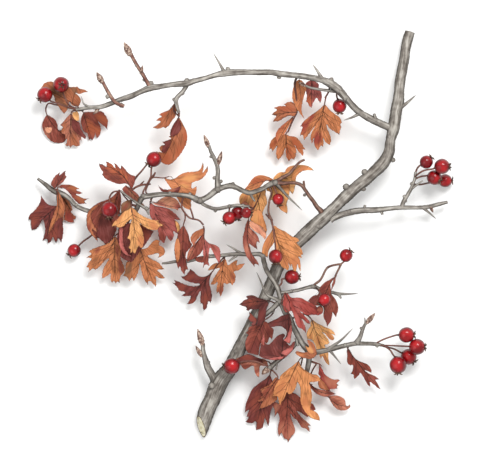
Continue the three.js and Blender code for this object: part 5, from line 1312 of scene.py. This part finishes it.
# %% Leaves of the middle
grow_mass("leaves_centre", "153 195.5 23.4 1.6, 152 198 21.4 1.4, 151 200 20.4 1.3", [
    leaf("orange", "yellow", (164, 178), (22, 20.6),
         stalk="152 198 21, 146 192 21.4, 148.5 184.5 21.6, 152.5 178 21.8",
         patches="190 178 5, 184 186 3", rim="""
        170 179.4, 175 178.5, 180 175, 185 172.8, 192 171.8, 198.5 170.8, 201.5 167, 202.6 162^,
        203.8 167, 202.8 172.6, 205.5 169.5, 207.5 166^, 208 170.5, 205 175.8, 200 180, 192.6 182.6,
        191.5 186.5, 192.5 188.6, 196.7 186.2^, 196.5 191, 195 195.5^, 191.5 200, 191.3 206,
        190.5 210^, 185 208, 180.5 203.5, 176 196, 171.5 189, 168 184"""),
    flap("maroon", "salmon", (181, 186), (22.6, 21.4), patches="172 190.5 3", rim="""
        176 188, 171 189.3, 166 189.5, 161.8 188.3, 158.3 185.2^, 160.5 189.8, 163.5 192.2, 170 192.8,
        178 192.4"""),
    leaf("pale", "rose", (151, 201.5), (20.8, 16.2), tip=(181, 208), teeth=0.4, stalk="151.5 200 20.4",
         patches="160 204 4, 178 207 3", rim="""
        153.5 203, 157 202.3, 161 198.8, 166 196.7, 171 196.8, 175.5 198.8, 178.5 202, 180 205,
        181 208.3^, 178.8 208.3, 177.8 210.3^, 174.5 208.9, 169 208, 163 206.5, 156 205"""),
    leaf("rose", "red_brown", (150, 202), (19.8, 8.2), stalk="151 201 20",
         patches="162 225 4, 162 236 4, 171 214 3", rim="""
        155 205.6, 161 206.8, 167 208.3, 172 211, 176.5 214.8, 180.7 220.3^, 177 220, 174.5 219.4,
        178.5 223.3, 180 228, 177.6 234.1^, 173.4 231.3, 173.8 236, 170.9 241.6^, 168.3 239,
        166.4 235.8, 165.4 239.5, 164 243.5^, 159 239.5^, 158 231, 157 224, 152 219.3, 149.7 214,
        149.6 208"""),
    flap("rose", "rose", (150.5, 203.5), (20.6, 16.8), rim="""
        153.5 205, 155.3 211, 155 219^, 152 218.8, 149.9 214, 149.8 208"""),
    flap("gold", "gold", (175, 220), (13.9, 10.3), rim="""
        178.3 223.3, 179.8 228, 177.6 233.6^, 176.8 229, 175.6 224"""),
], bars=[
    "151 177.5 22 1.2, 153.5 176 22.4 1.6, 155.6 172.4 22.8 1",
])

# %% Leaves that hang from the middle
grow_mass("leaves_hanging", """
    184 196 25.4 1.4, 182 203 26 1.2, 182 208 25.8 1.2, 185 213 25 1.2, 190 218 24.6 1.1,
    199 220.4 24.4 1.1, 203.5 225 24.2 1.2""", [
    leaf("red_brown", "maroon", (183.5, 225), (23, 16.2), stalk="185 213 25, 185.3 219 23.8",
         patches="186 248 4, 182 262 4", rim="""
        186.5 230, 189 236, 190 241, 192 245, 188.5 250, 186 253.5, 186.3 260, 188.2 270^, 186 269.6,
        184.6 274.8^, 181.5 271, 180 266.5, 178.3 269^, 176.2 262, 174.6 254, 174.6 246, 177 238,
        179 231"""),
    flap("orange", "orange", (177.5, 237), (22.4, 19), rim="""
        175 244, 174.9 252, 176 259, 178 263^, 179.8 257, 180.4 249, 179.8 242"""),
    leaf("red_brown", "salmon", (203.5, 233), (24.2, 20.2), teeth=0.4,
         stalk="203.5 226 24.2, 204.3 230 24.2", patches="189.5 253 4", rim="""
        200 237.5, 196.5 242, 192.5 245.5, 188.6 251, 187.2 257, 187 262^, 192 259.4, 198 256,
        202.8 250, 204.5 242"""),
    leaf("rose", "red_brown", (204, 237), (24, 20.8), tip=(209.3, 265.8), stalk="204.3 230 24.2",
         patches="206 261 4, 213 247 3", rim="""
        203 244, 203.2 252, 203.5 260, 203 268^, 205.6 264.6, 209.3 265.8^, 208.6 259, 209 252,
        210.3 247.6, 213 252, 216 258.5, 219.5 264^, 220.6 256.5, 219.7 249, 216 245.3, 210 243.6,
        206.3 240.6"""),
    flap("orange_brown", "salmon", (203.5, 228), (25.2, 22.8), patches="193 243 3", rim="""
        199 230, 194 232.6, 190.6 237.5, 191.3 242, 194 246.5^, 196.3 241.5, 200 237, 203.6 233.5"""),
    flap("red_brown", "red_brown", (204, 257), (21.6, 20.8), rim="""
        199 256.4, 194.8 258.4^, 196 260.7, 199.5 262.3, 203.6 262"""),
], bars=[
    "190.4 208.3 24.3 1, 192 213 24.5 1.1, 193.6 218.8 24.5 1.1",
])
# %% Leaves under the left bough
grow_mass("leaves_lower_left", "225 255.5 19.6 1.5, 224 258.5 17.6 1.4", [
    leaf("orange", "red_brown", (224.5, 258), (17.6, 8.2), stalk="224.5 257 17.8",
         patches="222 263 3, 233 277 3, 221 290 3", rim="""
        222.5 260.5, 219.5 262.8, 215 263.3, 211 266, 207.5 270.5^, 213 269.5, 219.6 268.2, 217 273,
        213.5 278.5, 210.5 284.5^, 214 284.6, 217.3 282.3, 216.4 289, 216.6 294.4^, 218.7 292,
        220 297.5^, 223.2 290.5, 223.8 283.4, 227 284.4, 230.3 283, 232.3 285.5^, 235.3 280.5,
        235.5 275.5, 233.8 271.8, 239 270.2, 242.5 267, 244.8 263.4^, 240 264.2, 236.6 265.2,
        237.7 259.8^, 233 262, 228.2 265.2, 226.3 261"""),
    leaf("maroon", "red_brown", (214, 269.5), (15.6, 5.2), stalk="223.5 257.5 17.2, 218 264 16.2",
         patches="205 300 5, 181 288 4, 192 302 3, 190 277 4", rim="""
        211 272.5, 207.5 275.6, 203 276.9, 198 275.8, 194 271.8, 190.3 269^, 188 272.5, 184.3 276.2,
        180.5 275.9^, 183.5 279.3, 189 282, 195 283.6, 199.8 284, 197 286.2, 190 286, 183 283.8,
        178.5 281.6, 173.8 280.1^, 175.2 283, 172 282.8^, 176.5 286.8, 178.5 290.7^, 184.8 292.8,
        181 296.2^, 186 296.4, 190.6 296.2, 189 301, 186.4 304.4^, 191.5 303.8, 195.3 301, 197.5 296,
        200.6 291.3, 200 298, 200.4 304^, 202 303.6, 203.4 311^, 206.3 308.5, 208.3 301.5, 210.6 303^,
        212 296.5, 210.8 289.5, 209.3 283, 210.5 276.5"""),
])

# %% Leaves round the fork of the middle bough
grow_mass("leaves_fork", "272 184 25 1.8, 272 183.5 22.6 1.6, 271.5 183.5 20.8 1.5", [
    leaf("orange", "red_orange", (273, 180), (21.2, 20.2), teeth=0.5, stalk="271 183.5 21",
         patches="258 181 5", rim="""
        272.5 179, 268 177, 264.8 175.8, 261 175.2, 257.5 175.6, 254.5 177, 251.5 180, 248.5 184.5,
        244 190^, 250 191, 256 190, 260 187, 262 184.5, 264.5 181.8, 267 180.5, 270 182"""),
    leaf("yellow", "orange", (256, 188), (20.2, 18.8), teeth=0.6, stalk="271 184 20.8, 262 187.5 20.2",
         patches="245 199 5, 252 206 5", rim="""
        247 190, 241 194.5, 239.4 198, 239.4 202, 241 205, 244.5 206.3, 249 206.5, 250.5 210, 251 215,
        249.8 220^, 255.2 223.4, 260.6 226.5, 263.7 229.5, 266 233.8^, 266.9 230, 266 225, 264 219.5,
        262.6 214.5, 263.3 211, 265 207, 267 203.5, 266.6 198.5, 265.6 194, 265.4 189.5"""),
    flap("salmon", "orange", (249.5, 206), (20.8, 20.8), rim="""
        245 206.3, 241 204.8, 243 202.3, 245.5 201.7, 248 203.4"""),
    flap("amber", "yellow", (259, 209), (20.3, 19.8), tip=(266, 233.8), patches="256 217 4", rim="""
        255.5 210.2, 251 211.6, 251.2 216, 250.2 220, 255.2 223.2, 260.6 226.3, 263.7 229.3,
        266 233.6^, 266.7 230, 265.8 225, 263.8 219.5, 262.4 214.5"""),
    leaf("red_brown", "salmon", (248.5, 219), (21, 25.2), teeth=0.6,
         stalk="262 190 20, 256 204 19.6, 250 214 19.8", patches="250 232 4, 247 249 4, 255 239 3",
         rim="""
        246.2 223.4, 245 227.5, 244.2 231.5, 243.2 235.5, 242.8 240, 243.2 246, 244.5 251, 246.2 256,
        249 260, 251.8 263.5, 254.5 266.8^, 254.6 264, 256.5 264, 259.2 265.8^, 257.5 261.5,
        254.5 257.5, 252 254, 250.5 249.5, 249.2 243.5, 252 245.8, 257.5 249.6^, 256.6 246, 256.6 243,
        257.3 241.5, 259.8 242.7^, 258.3 237.2, 256 233.8, 252.5 230.5, 250 227.5, 249.8 223"""),
    flap("pale", "salmon", (250.2, 220.6), (21.8, 22.6), patches="258 230 3", rim="""
        249 223.5, 250.8 228, 255.6 231.8, 259 233.9, 262.8 237.2, 264.8 239.6^, 266.2 235.5,
        264.5 229.5, 258 225"""),
    leaf("yellow", "orange", (273, 181), (21.2, 20.8), teeth=0.6, stalk="272 183.5 21",
         patches="285 186 8, 281 205 5, 287 170 4", rim="""
        273.5 178, 275.6 175.3, 278.3 173, 281.4 172.1, 284.6 172.3, 285.6 169.9, 287.5 167.6,
        290.6 166.1, 295 165.3, 300.6 165, 304.5 165.3, 308.3 166.3, 311.8 168.4, 313.7 170.8^,
        308.3 170.3, 304 170.9, 301 172, 298 174.6, 296.2 177, 295.6 180, 295.8 183.5, 294.8 187,
        294 191, 292.6 194.2^, 290.8 192.5, 289.8 190.8, 289 195, 288 199.5, 286.6 203.4, 287.3 207.5,
        287.5 211, 286.8 213.9^, 284 212, 280.5 209.8, 277.5 206, 274 203, 271.8 200, 270.4 200.5,
        270.8 196, 271 193.3, 269.5 191.8, 266.5 190.5, 267 188, 270 187.5"""),
    flap("amber", "orange", (291.2, 181), (21.8, 21.6), tip=(313.7, 170.8), patches="303 168 4",
         rim="""
        291.9 176, 294 171, 298 167.5, 303 166.2, 308 167.2, 313.5 170.7^, 308.3 170.2, 304 170.7,
        301 171.8, 298 174.4, 296.1 177, 295.4 180"""),
    flap("gold", "yellow", (289.7, 184), (21.8, 21.4), rim="""
        289.5 187.5, 290 191, 292.5 194^, 293.8 191, 294.6 187, 295.4 184"""),
])

grow_mass("leaves_drooping", "271 219.5 24.4 1.4, 272.5 225 23.6 1.3", [
    leaf("amber", "orange", (272.8, 225.5), (23.6, 20.8), tip=(288.3, 270.8), cup=0.5, teeth=0.6,
         stalk="272.2 224 23.6", patches="268 244 6, 286 262 5, 296 262 4", rim="""
        272.2 229.5, 270.2 233, 267.5 236.5, 265.6 239.5, 263.7 243.4, 262.5 247, 262 251, 261.6 255,
        262.3 258.8^, 265.4 256.6, 267.5 258^, 268.3 252, 269.6 248.8, 272.5 245, 275 242, 276 249,
        278 258, 280.5 264.5, 283 268, 285.2 268.8, 288.3 270.8^, 289 266.5, 288.4 262.8, 290.6 267^,
        291.4 264, 292.5 268, 293.2 271.8^, 295.8 271.5^, 296.6 268, 297.5 264.2, 298.7 268,
        300.3 271.2^, 300.6 266, 299.8 260, 298.4 256.8, 302 258^, 300.8 255.2, 302.9 254.6^,
        302.2 251, 300.2 247.5, 297.4 244, 296.4 242.3, 299.2 241^, 298 239, 296 237.6, 292.9 236.8,
        290.2 235.3, 287.7 233.6, 285 231.4, 282 230.2, 278.3 228.4, 275.2 226"""),
])

# %% [markdown]
# ## The masses of the lower bough
# The lower bough crosses over the stem. Its leaves lie on both sides, some over the stem and
# some under the twigs, so their heights matter most here.

# %% Leaves of the lower bough
grow_mass("leaves_junction", "279 303 21 2, 277 303.5 19.2 1.8, 275 304 18.6 1.6", [
    leaf("dark", "red_brown", (268, 300.5), (19.6, 18.6), teeth=0.6, stalk="275.5 303.5 19",
         patches="253 302 5", rim="""
        262 298.8, 258.5 297.7, 255.4 296.2, 252.9 295.2, 250.2 295.2, 248 295.6, 246.1 296.2^,
        246.8 297.7, 247.6 298.7, 245.2 299.6, 243.2 300.9, 241.6 302.7, 239 304.3^, 242.2 305.8,
        245.6 306.8, 246.8 308.4, 246.3 309.7, 248.2 311^, 250.5 309.2, 253.5 309.3, 257.2 309.1,
        261 308, 264.5 306"""),
    flap("dark", "maroon", (267.6, 301.5), (20.9, 20.8), tip=(257, 326), patches="261 315 4", rim="""
        262.5 304.5, 259 308.8, 258.4 312, 257.8 316, 257.4 319.5, 257 323, 255.4 326.3^, 259 325.7,
        261.5 323.5, 264.6 320.5, 265.5 316.8, 266.2 311.8, 266.9 307.5, 268.6 303.5"""),
    flap("maroon", "red_brown", (257, 320.6), (18.6, 16.8), patches="252 318 4", rim="""
        256.4 318.6, 253.5 316.2, 251 313.6, 249.2 311.6^, 249.6 316, 247.4 318.2^, 249.8 320.5,
        252.3 322.8, 251.1 324.2, 252.3 325.4^, 255.7 323.8"""),
    leaf("red_brown", "maroon", (264, 321), (17.4, 16.8), tip=(249.5, 353.5), teeth=0.6,
         stalk="275.5 304 18.6, 274.6 309 17.2, 271.5 315 17",
         patches="255 348 6, 268 333 4, 262 330 4", rim="""
        259 324.5, 254.8 324.6, 251.7 325.7, 248.6 327.8, 248 330.8, 245 333^, 248.6 334.8, 247 337.2,
        245.8 340.2, 245.2 343.3, 245.5 347, 246.5 350.6, 248 352.8^, 250.5 353.4, 254.2 354.3,
        258.5 355, 259.2 350, 260.3 344.5, 262.4 340, 264.8 342, 266.8 343.8^, 268.2 341, 269.6 337.2,
        271.8 339.7^, 272.5 337.5, 273.3 333.4, 273.8 330, 272.4 327.8, 270.2 326.8, 268.8 324,
        266.6 321.8"""),
])

grow_mass("leaves_over", "281 303 22.6 2, 281.5 303 25.4 1.8", [
    leaf("dark", "maroon", (289, 313.5), (25.2, 23.2), teeth=0.6,
         stalk="281.5 303.5 25.2, 286 309 25.2", patches="276 322 5", rim="""
        285 314.6, 281.2 315.6, 277.5 318, 273.8 319.8, 270.2 321.4, 267.4 323^, 268.9 325, 270.2 327,
        273.8 326.6, 277.5 326, 281.2 326.3, 284.3 328.2, 286.4 330.6, 286.6 332.5, 285.6 336.2,
        283.1 339.6^, 285.5 341.8, 289.6 343.8^, 290.6 340, 291.2 335, 292 329.7, 291.5 324, 290.8 319"""),
    flap("rose", "maroon", (291, 323), (25.7, 24.2), tip=(289.6, 343.6), rim="""
        291.6 326, 291.9 330, 291.1 335, 290.5 340, 289.5 343.5^, 286 341.6, 283.4 339.6, 286 337.6,
        287.6 334, 289.5 328"""),
    leaf("red", "rose", (285, 292.5), (26, 23.4), teeth=0.6, stalk="281.5 302 25.4, 283 297 25.6",
         patches="297 299.5 4, 297 308 5, 303 325 4, 289 307 4", rim="""
        287.8 293.5, 289 295.4, 291.5 297.4, 298.5 297.4, 302 298.2, 305 300, 310.8 302.7, 314 304.6,
        317 307, 318.5 305.9, 321 305.6, 323 308, 322.7 311.8, 320.6 314, 318 315.3^, 315.5 314.6,
        310.8 314.6, 307 314.8, 303.5 313.2, 300 310.8, 302.8 313.9, 305.4 316.8, 309.2 321,
        309.9 323.8^, 307 323, 304 320.3, 301.4 318, 302.8 321.2, 304.9 326, 305.6 329.5, 305.8 333^,
        304.4 330.4, 302 328.8, 299 327.7, 297 325.8, 295.4 322, 293.6 316, 291.4 310.8, 288 312,
        285.2 311.8, 283.4 308, 282.8 302.6, 283.7 298"""),
    flap("red", "salmon", (316, 310.5), (25.6, 24.6), patches="320 309 3", rim="""
        317.2 307, 318.6 306, 321 305.7, 322.9 308, 322.6 311.7, 320.5 313.9, 318 315.1^, 315.6 314.3,
        317.4 312"""),
    flap("red", "rose", (290.4, 299), (26.8, 25.2), patches="296 318 4", rim="""
        292 303, 295 309, 298 314.5, 300.6 320, 302.4 325, 305.6 332.6^, 302 328.6, 298.8 327.4,
        296.8 325, 295.2 321, 293.4 315, 291 309, 289.6 303"""),
])

grow_mass("leaf_folded", "283 356 17 1.6, 281.5 355 19.8 1.5", [
    leaf("maroon", "dark", (281, 359.2), (21, 19), tip=(283, 333.3), teeth=0.6,
         stalk="281.5 355.5 19.8", patches="268 350 6, 280 342 5", rim="""
        275 359.8, 267.7 359.3, 262.8 357.8, 259 355.3^, 259.8 350, 260.4 345, 261.3 340, 263.4 334.2^,
        264.5 338, 264.8 342, 266.8 344, 269.4 344, 271.4 342, 273.8 339.5, 276.3 336.6, 279.4 334.6,
        283 333.3^, 284.9 334.6, 284.4 337, 283.1 339.5, 286.5 342.5, 290 345.4, 292.6 342.2, 295 341^,
        294.6 345, 292.6 350, 289.8 353.1, 286.8 355.9, 284 358"""),
    flap("rose", "maroon", (280.2, 353.2), (21.7, 21.2), patches="292 345 3", rim="""
        283.5 350.4, 287.4 348.2, 290 346.2, 292.6 342.4, 294.9 341.2^, 294.4 345, 292.4 349.8,
        289.6 352.9, 286.6 355.3, 283 354.4"""),
    flap("rose", "maroon", (268.6, 358.4), (21.2, 21.8), rim="""
        275 356.9, 284.3 356.1^, 280.6 359.2, 275 359.6, 270 359.3"""),
    flap("rose", "red_brown", (260.2, 352), (20.6, 20.2), patches="262 345 3", rim="""
        260.6 345, 261.5 340, 263.4 334.4^, 264.4 338, 264.6 342, 263 348"""),
])

grow_mass("leaves_curled", "271 367.5 15.6 1.7, 271.5 369 13.4 1.6, 271 371 12.6 1.4", [
    leaf("salmon", "red_brown", (267, 361), (14.4, 14.2), teeth=0.5,
         stalk="271.2 368.5 13, 270 363 13.6", patches="246 366 4, 257 371 3", rim="""
        268 365.8, 264.5 366, 260.3 366, 259.6 370.5, 259.4 374.3, 259.1 377.7^, 256.5 375.5,
        254.6 371.5, 253.8 366.4, 251 366.2, 248.5 368, 245.5 369.6^, 242.8 368.2, 240.8 365.2,
        238.5 364.5, 235 361^, 236 358.8, 239.7 357.3, 244.5 355.2, 248.2 354.2, 252 355, 256 357,
        260.5 358.6, 265 359.4"""),
    flap("maroon", "red_brown", (263, 363.4), (15.4, 15.2), patches="246 357 4", rim="""
        257 362.6, 251 361, 244 362.2, 238.5 363, 235.4 361^, 239.7 357.5, 244.5 355.4, 248.2 354.4,
        252 355.2, 256 357.2, 260.5 358.8"""),
    flap("brown", "maroon", (268.6, 369), (13.6, 13.2), rim="""
        265.5 367.4, 262.3 370.5, 261.5 374.5^, 265 374.2, 268.2 372"""),
    leaf("orange_brown", "red_brown", (278, 377.5), (13.2, 6.2), teeth=0.6,
         stalk="271.5 369.5 13.2, 275 373 13.2", patches="266 394 6, 276 386 4", rim="""
        275.1 378, 272 382, 268.2 385.5, 263.8 387.7, 260.1 390^, 261.6 392.8, 262.4 395.2,
        260.3 398.4, 257.6 401.6^, 260.5 402, 262.8 401.7, 260.9 405.1, 258.7 409.6^, 262.8 408.6,
        266.8 407, 270.5 405.2, 274 402.6, 277.6 399.8^, 277.4 395, 278 388, 279 381"""),
    leaf("maroon", "red_brown", (270, 375), (11.8, 0.4), cup=0.4, teeth=0.6, stalk="271 370 12.6",
         patches="256 402 7, 262 422 6", rim="""
        268.5 376, 265.8 379, 261.2 382, 257.4 385.1, 253.5 388.2, 250.8 392, 249.2 396, 247.4 400.5,
        245.8 404.5, 245.2 409, 245 413.3^, 247 411.7, 249 410.7, 247.6 414.5, 246.4 417.6^,
        248.4 417.6, 247.8 420, 245.4 422.6^, 248.5 423.8, 252.8 423.9, 255.3 422, 256.4 425,
        255.9 431^, 259 430.2, 262.9 428.6^, 263.6 425, 265 418.8, 267.2 424.5, 268.6 427.2^,
        269.4 423, 270.3 415, 272.2 408.5, 274 403, 274 392, 273 383, 271.4 378"""),
])

# %% Leaves of the twigs and of the lower right
grow_mass("leaf_dark", "336 275 21.6 1.3, 334 279 22.6 1.3", [
    leaf("red_brown", "maroon", (334, 277), (23, 22.7), teeth=0.5, stalk="334.5 277 22.6",
         patches="313 300 4, 324 287 4, 327 318 4", rim="""
        331.1 278.5, 329.6 279.7, 327.1 280.8, 325 282.1, 322.8 283.9, 321 285.8, 319.6 288, 319 290.2,
        318.3 293, 317.4 294.6, 313.8 295.4, 311.7 296.6, 309.7 298.4, 307.8 301^, 311 303,
        313.8 305.6, 317.8 305.4, 321 305.5, 323 307, 323.6 310, 323.2 313, 323.2 315.8, 324 318.3,
        325.3 321, 326.2 323.4, 326.9 326.5^, 328.2 324.4, 330.4 321.4, 331.5 318, 332.2 314.6,
        332.4 312, 333.8 314, 335.8 317^, 336.6 314, 337.6 311.3, 338 308.4, 337.7 305.2, 336.6 302,
        335.4 299.5, 333.6 297, 331.8 294.8, 330.9 292.7, 330.6 289, 330.2 285, 330.6 282, 332 280"""),
    flap("red_brown", "salmon", (334.6, 278), (23.6, 23.4), rim="""
        333 281, 332 284, 331.2 287.5, 331 290.4^, 332.4 288, 333.8 285, 335 282, 335.3 279"""),
])

grow_mass("leaf_yellow", "291 319 20.6 1.5, 297 316 17 1.2, 304 314 15 1.1, 309 316 14.4 1.1", [
    leaf("gold", "orange", (311.5, 319.5), (14.2, 5.2), cup=0.5, teeth=0.5, stalk="308 315.5 14.4",
         patches="330 337 4, 311 337 3, 324 360 4, 318 340 4", rim="""
        310.6 323.2, 310.8 325.8, 309.8 327.6, 308 330.2, 307.1 332.8, 306.7 335, 307.2 337.3,
        307.2 339^, 310.6 339.4, 312.3 340.4, 314.3 342.8, 315.8 346.5, 316.8 350, 319 353, 320 356.6,
        321 359.2^, 321.8 358, 322.1 356.5, 323.3 357.2, 324.4 359.9, 326.2 362.9, 328.2 365,
        329.7 365.7^, 329.7 364, 329.1 361, 328.6 357.7, 328.5 353, 326.5 349.5, 325.2 347,
        325.4 344.8, 327.7 344.7, 329.6 343.2^, 329.1 341.7, 328 339.1, 326.5 337.3, 324.7 335,
        322.8 333.2, 321.9 332.2, 325 333.8, 327 336.2, 329.1 338.7, 331.4 340.2, 333.4 340.6^,
        334.4 339, 334 337.6, 333.2 335.8, 331.4 334.2, 333.5 334.8, 335.3 335.8^, 334.9 333.9,
        333.6 331.7, 331.4 329.8, 328.4 328.4, 325.1 327.2, 322.5 325.9, 319.5 324.5, 316.5 322.8,
        313.9 320.8"""),
])

grow_mass("leaf_orange", "308.5 351 19 1.5, 311 353 22.2 1.4", [
    leaf("orange_brown", "yellow", (313.5, 357.5), (23.2, 21.6), tip=(295.1, 352.3), teeth=0.4,
         stalk="309.8 352 21.2", patches="310 350 4", rim="""
        310.6 358.6, 306.9 358.3, 303.2 357.7, 300 356.7, 298 355.4, 296.1 354, 295.1 352.3^,
        296.1 351, 298 350.9, 300 351.6, 302.4 352.1, 305 352.1, 307.4 351.4, 306.6 349.7, 305.8 348.4,
        305.2 346.8, 304.6 345.2^, 306.4 346.2, 308.2 347, 308.8 345.1, 308 343.4, 307.4 341.3,
        307 339.3^, 309 340, 312.1 342.1, 313.9 344.3, 315.2 346.9, 315.8 349.5, 316.7 352.1,
        316.5 354.2, 315 356.2"""),
    flap("orange_brown", "orange", (313.4, 357.2), (24, 22.5), patches="299 353.5 3", rim="""
        310.6 358.3, 306.9 358, 303.2 357.4, 300 356.4, 298 355.1, 296.2 353.8, 295.3 352.5^, 300 353,
        306 353.4, 311 353.8, 315.6 351.6, 316.4 353, 316.2 354.2, 314.8 356"""),
])

grow_mass("leaves_bottom", "306.5 352.5 18.4 1.6, 302.5 356.5 19.8 1.5", [
    leaf("amber", "orange", (298.8, 360.5), (19.8, 12.2), tip=(280.2, 405.6), cup=0.4, teeth=0.6,
         stalk="303.5 355.5 19.6", patches="281 388 6, 293 382 5, 314 378 4, 305 402 4", rim="""
        295.8 362.9, 292 366.2, 287.4 369.7, 283.5 372.8, 280.3 376, 279.6 378.6, 275.6 385, 274.2 389,
        273.4 393, 273 397^, 276.4 396.1, 278 397.6, 279 402.5, 280.2 405.6^, 281.4 402.5, 283.7 399.5,
        285.2 396.5, 286.2 393.5, 287.2 392.2, 288.6 394.3^, 291 394, 293 392, 294.8 389.6,
        296.3 385.8, 297.4 382.2, 299 384.5, 300.2 388.5, 300.4 394, 300.5 400, 301.3 404.5, 303 408.6,
        306 413, 309.2 416.8, 313 419, 316.6 420.2, 320 420.9^, 319.4 416.8, 317 413, 314 411,
        310.8 409.6, 310.9 405, 311.7 399.7, 312 395, 311.2 390.5, 310.2 386, 309.2 382.8, 313.5 381.7,
        317.6 381.3, 321.4 380.6^, 319 377, 316.6 374.8, 312.8 374.2, 309.7 372.8, 305.8 370.5,
        302.8 368.2, 300.5 365.2"""),
    flap("yellow", "orange", (309.6, 409.8), (13.9, 13.3), rim="""
        314 411.2, 317 413.2, 319.2 416.9, 319.8 420.7^, 313 418.8, 309.2 415.6"""),
    leaf("red_brown", "salmon", (288.5, 389), (9.2, 0.4), teeth=0.6,
         stalk="303 356 19.2, 300 368 14, 294 382 9.8",
         patches="291 433 6, 282 430 4, 307 428 5, 277 407 4", rim="""
        284.5 397, 279 404, 275 402.2, 273 406, 274.4 410, 274.7 418^, 276.4 414.6, 278 413.6,
        279.6 418.9, 278.9 424, 278.2 428, 278.1 432.5, 279.4 438^, 280.4 435.2, 281.6 433.8,
        283 436.3, 284.7 439.8, 287.2 440.3, 288.4 443.8^, 289.8 440.6, 292.8 436.4, 295 433.5,
        295.2 429.5, 293.9 425.5, 292 421, 290.6 414.3, 293.6 418.3, 297.2 421, 299.8 425.2, 302 428.3,
        305.8 429.4, 310.2 433^, 309.6 429, 308.4 426.7, 311.2 426.6^, 307.4 422.8, 303.5 419.6,
        300.5 416.4, 297 411.6, 300.6 413, 304.4 415.9, 308 417.8^, 310 414, 316 410^, 313 404.5,
        306 402, 300.5 398, 296.6 394.6, 292.8 393"""),
])

grow_mass("leaves_salmon", "310 361 16.2 1.5, 314 362.5 14.8 1.3, 317 363.5 14.2 1.2", [
    leaf("red", "salmon", (319.3, 364), (14.2, 6.2), tip=(340.3, 380.8), teeth=0.4,
         stalk="316 363.2 14.2", patches="335 383 5, 329 382 4", rim="""
        319 370, 318.6 374.5, 320.6 377, 318.3 382, 318.9 386.6, 321 389.2, 325 390.3, 331 391.8^,
        330.3 389.8, 334.3 389.5, 337.9 389^, 337.2 387.2, 339 385.6^, 337 384.2, 337.9 382.7,
        340.3 380.8^, 338.2 379.8, 334.3 380, 331.2 378.9, 328 376.9, 324.8 374.2, 322.8 370.5,
        321 366.8"""),
    flap("orange_brown", "salmon", (321.4, 380), (11.4, 9.2), rim="""
        318.5 382.2, 319.1 386.4, 321.2 389, 325 390.1, 330.4 391.4^, 327.4 387, 324.4 382.6"""),
    leaf("red_brown", "salmon", (309.6, 383.6), (10.2, 8.2), teeth=0.3,
         stalk="316.6 363.6 14, 311.5 373 11.6", patches="322 393 4", rim="""
        313.5 386.6, 317.4 388.8, 321.2 390, 326.6 390.7, 331.2 392, 336.3 394.4^, 332 395.6,
        327.4 397, 324 397, 320.3 395.8, 315.8 393.4, 312.6 390.3, 310.4 387.5"""),
    leaf("salmon", "red_brown", (328.4, 397.2), (7.6, 4.2), tip=(350.8, 407.2), teeth=0.3,
         stalk="318 390 9.2, 323 394 8.2", patches="335 402 4", rim="""
        332 396.1, 336 395.8, 341.2 397.3, 344.8 399.8, 345.9 403, 346.3 405.8, 348.2 406.8,
        350.2 405.2^, 350.8 407.2, 349 409.4, 345.8 410.9, 341.2 411.2^, 337.4 409.7, 334.2 406.6,
        331 402"""),
])

grow_mass("leaf_right", "348 345.5 17.2 1.5, 347.8 348 15 1.4", [
    leaf("red_brown", "maroon", (347.6, 348.5), (14.6, 5.2), teeth=0.6, stalk="347.6 347.6 15",
         patches="350 354 4, 357 372 5, 367 382 4", rim="""
        346.9 351, 347.4 355.8, 347.1 359, 347.3 362, 348.5 364.3, 350.5 365.6^, 352.8 365.1,
        353.4 367, 353 369.7, 352.2 372, 350.9 374.1^, 354 375.1, 354 377.3, 354.9 379.6^, 357.8 376.6,
        359.4 375.2, 360.4 373, 363.8 377.4, 365.2 380.2, 368 385.1, 370.5 387.2^, 370.5 384.5,
        370.3 382.4, 374.5 385.2, 378.5 388.6, 381 390^, 379 386, 377.3 382.8, 375.8 380.3,
        379.4 379.7^, 377.7 378.2, 375.3 376.5, 369.7 374, 367 372.3, 365 370.6, 368.5 371.6,
        371.6 373.3^, 371.9 370.7, 370.8 368.3, 369.2 366, 366.8 364.1, 360.6 361.8, 357.8 360.4,
        355.4 358.5, 353 355.7, 351 352.5, 349.9 349.9"""),
])

# %% [markdown]
# ## The stalks
# Stalks are wood, not leaf, so those of all the masses are one piece of their own with the
# finish of young bark.

# %% Join the stalks of the leaves
leaf_stalks = finish_piece(leaf_stalks_bm, "leaf_stalks", [stalk_skin])
print("leaf stalks, faces:", len(leaf_stalks.data.polygons))
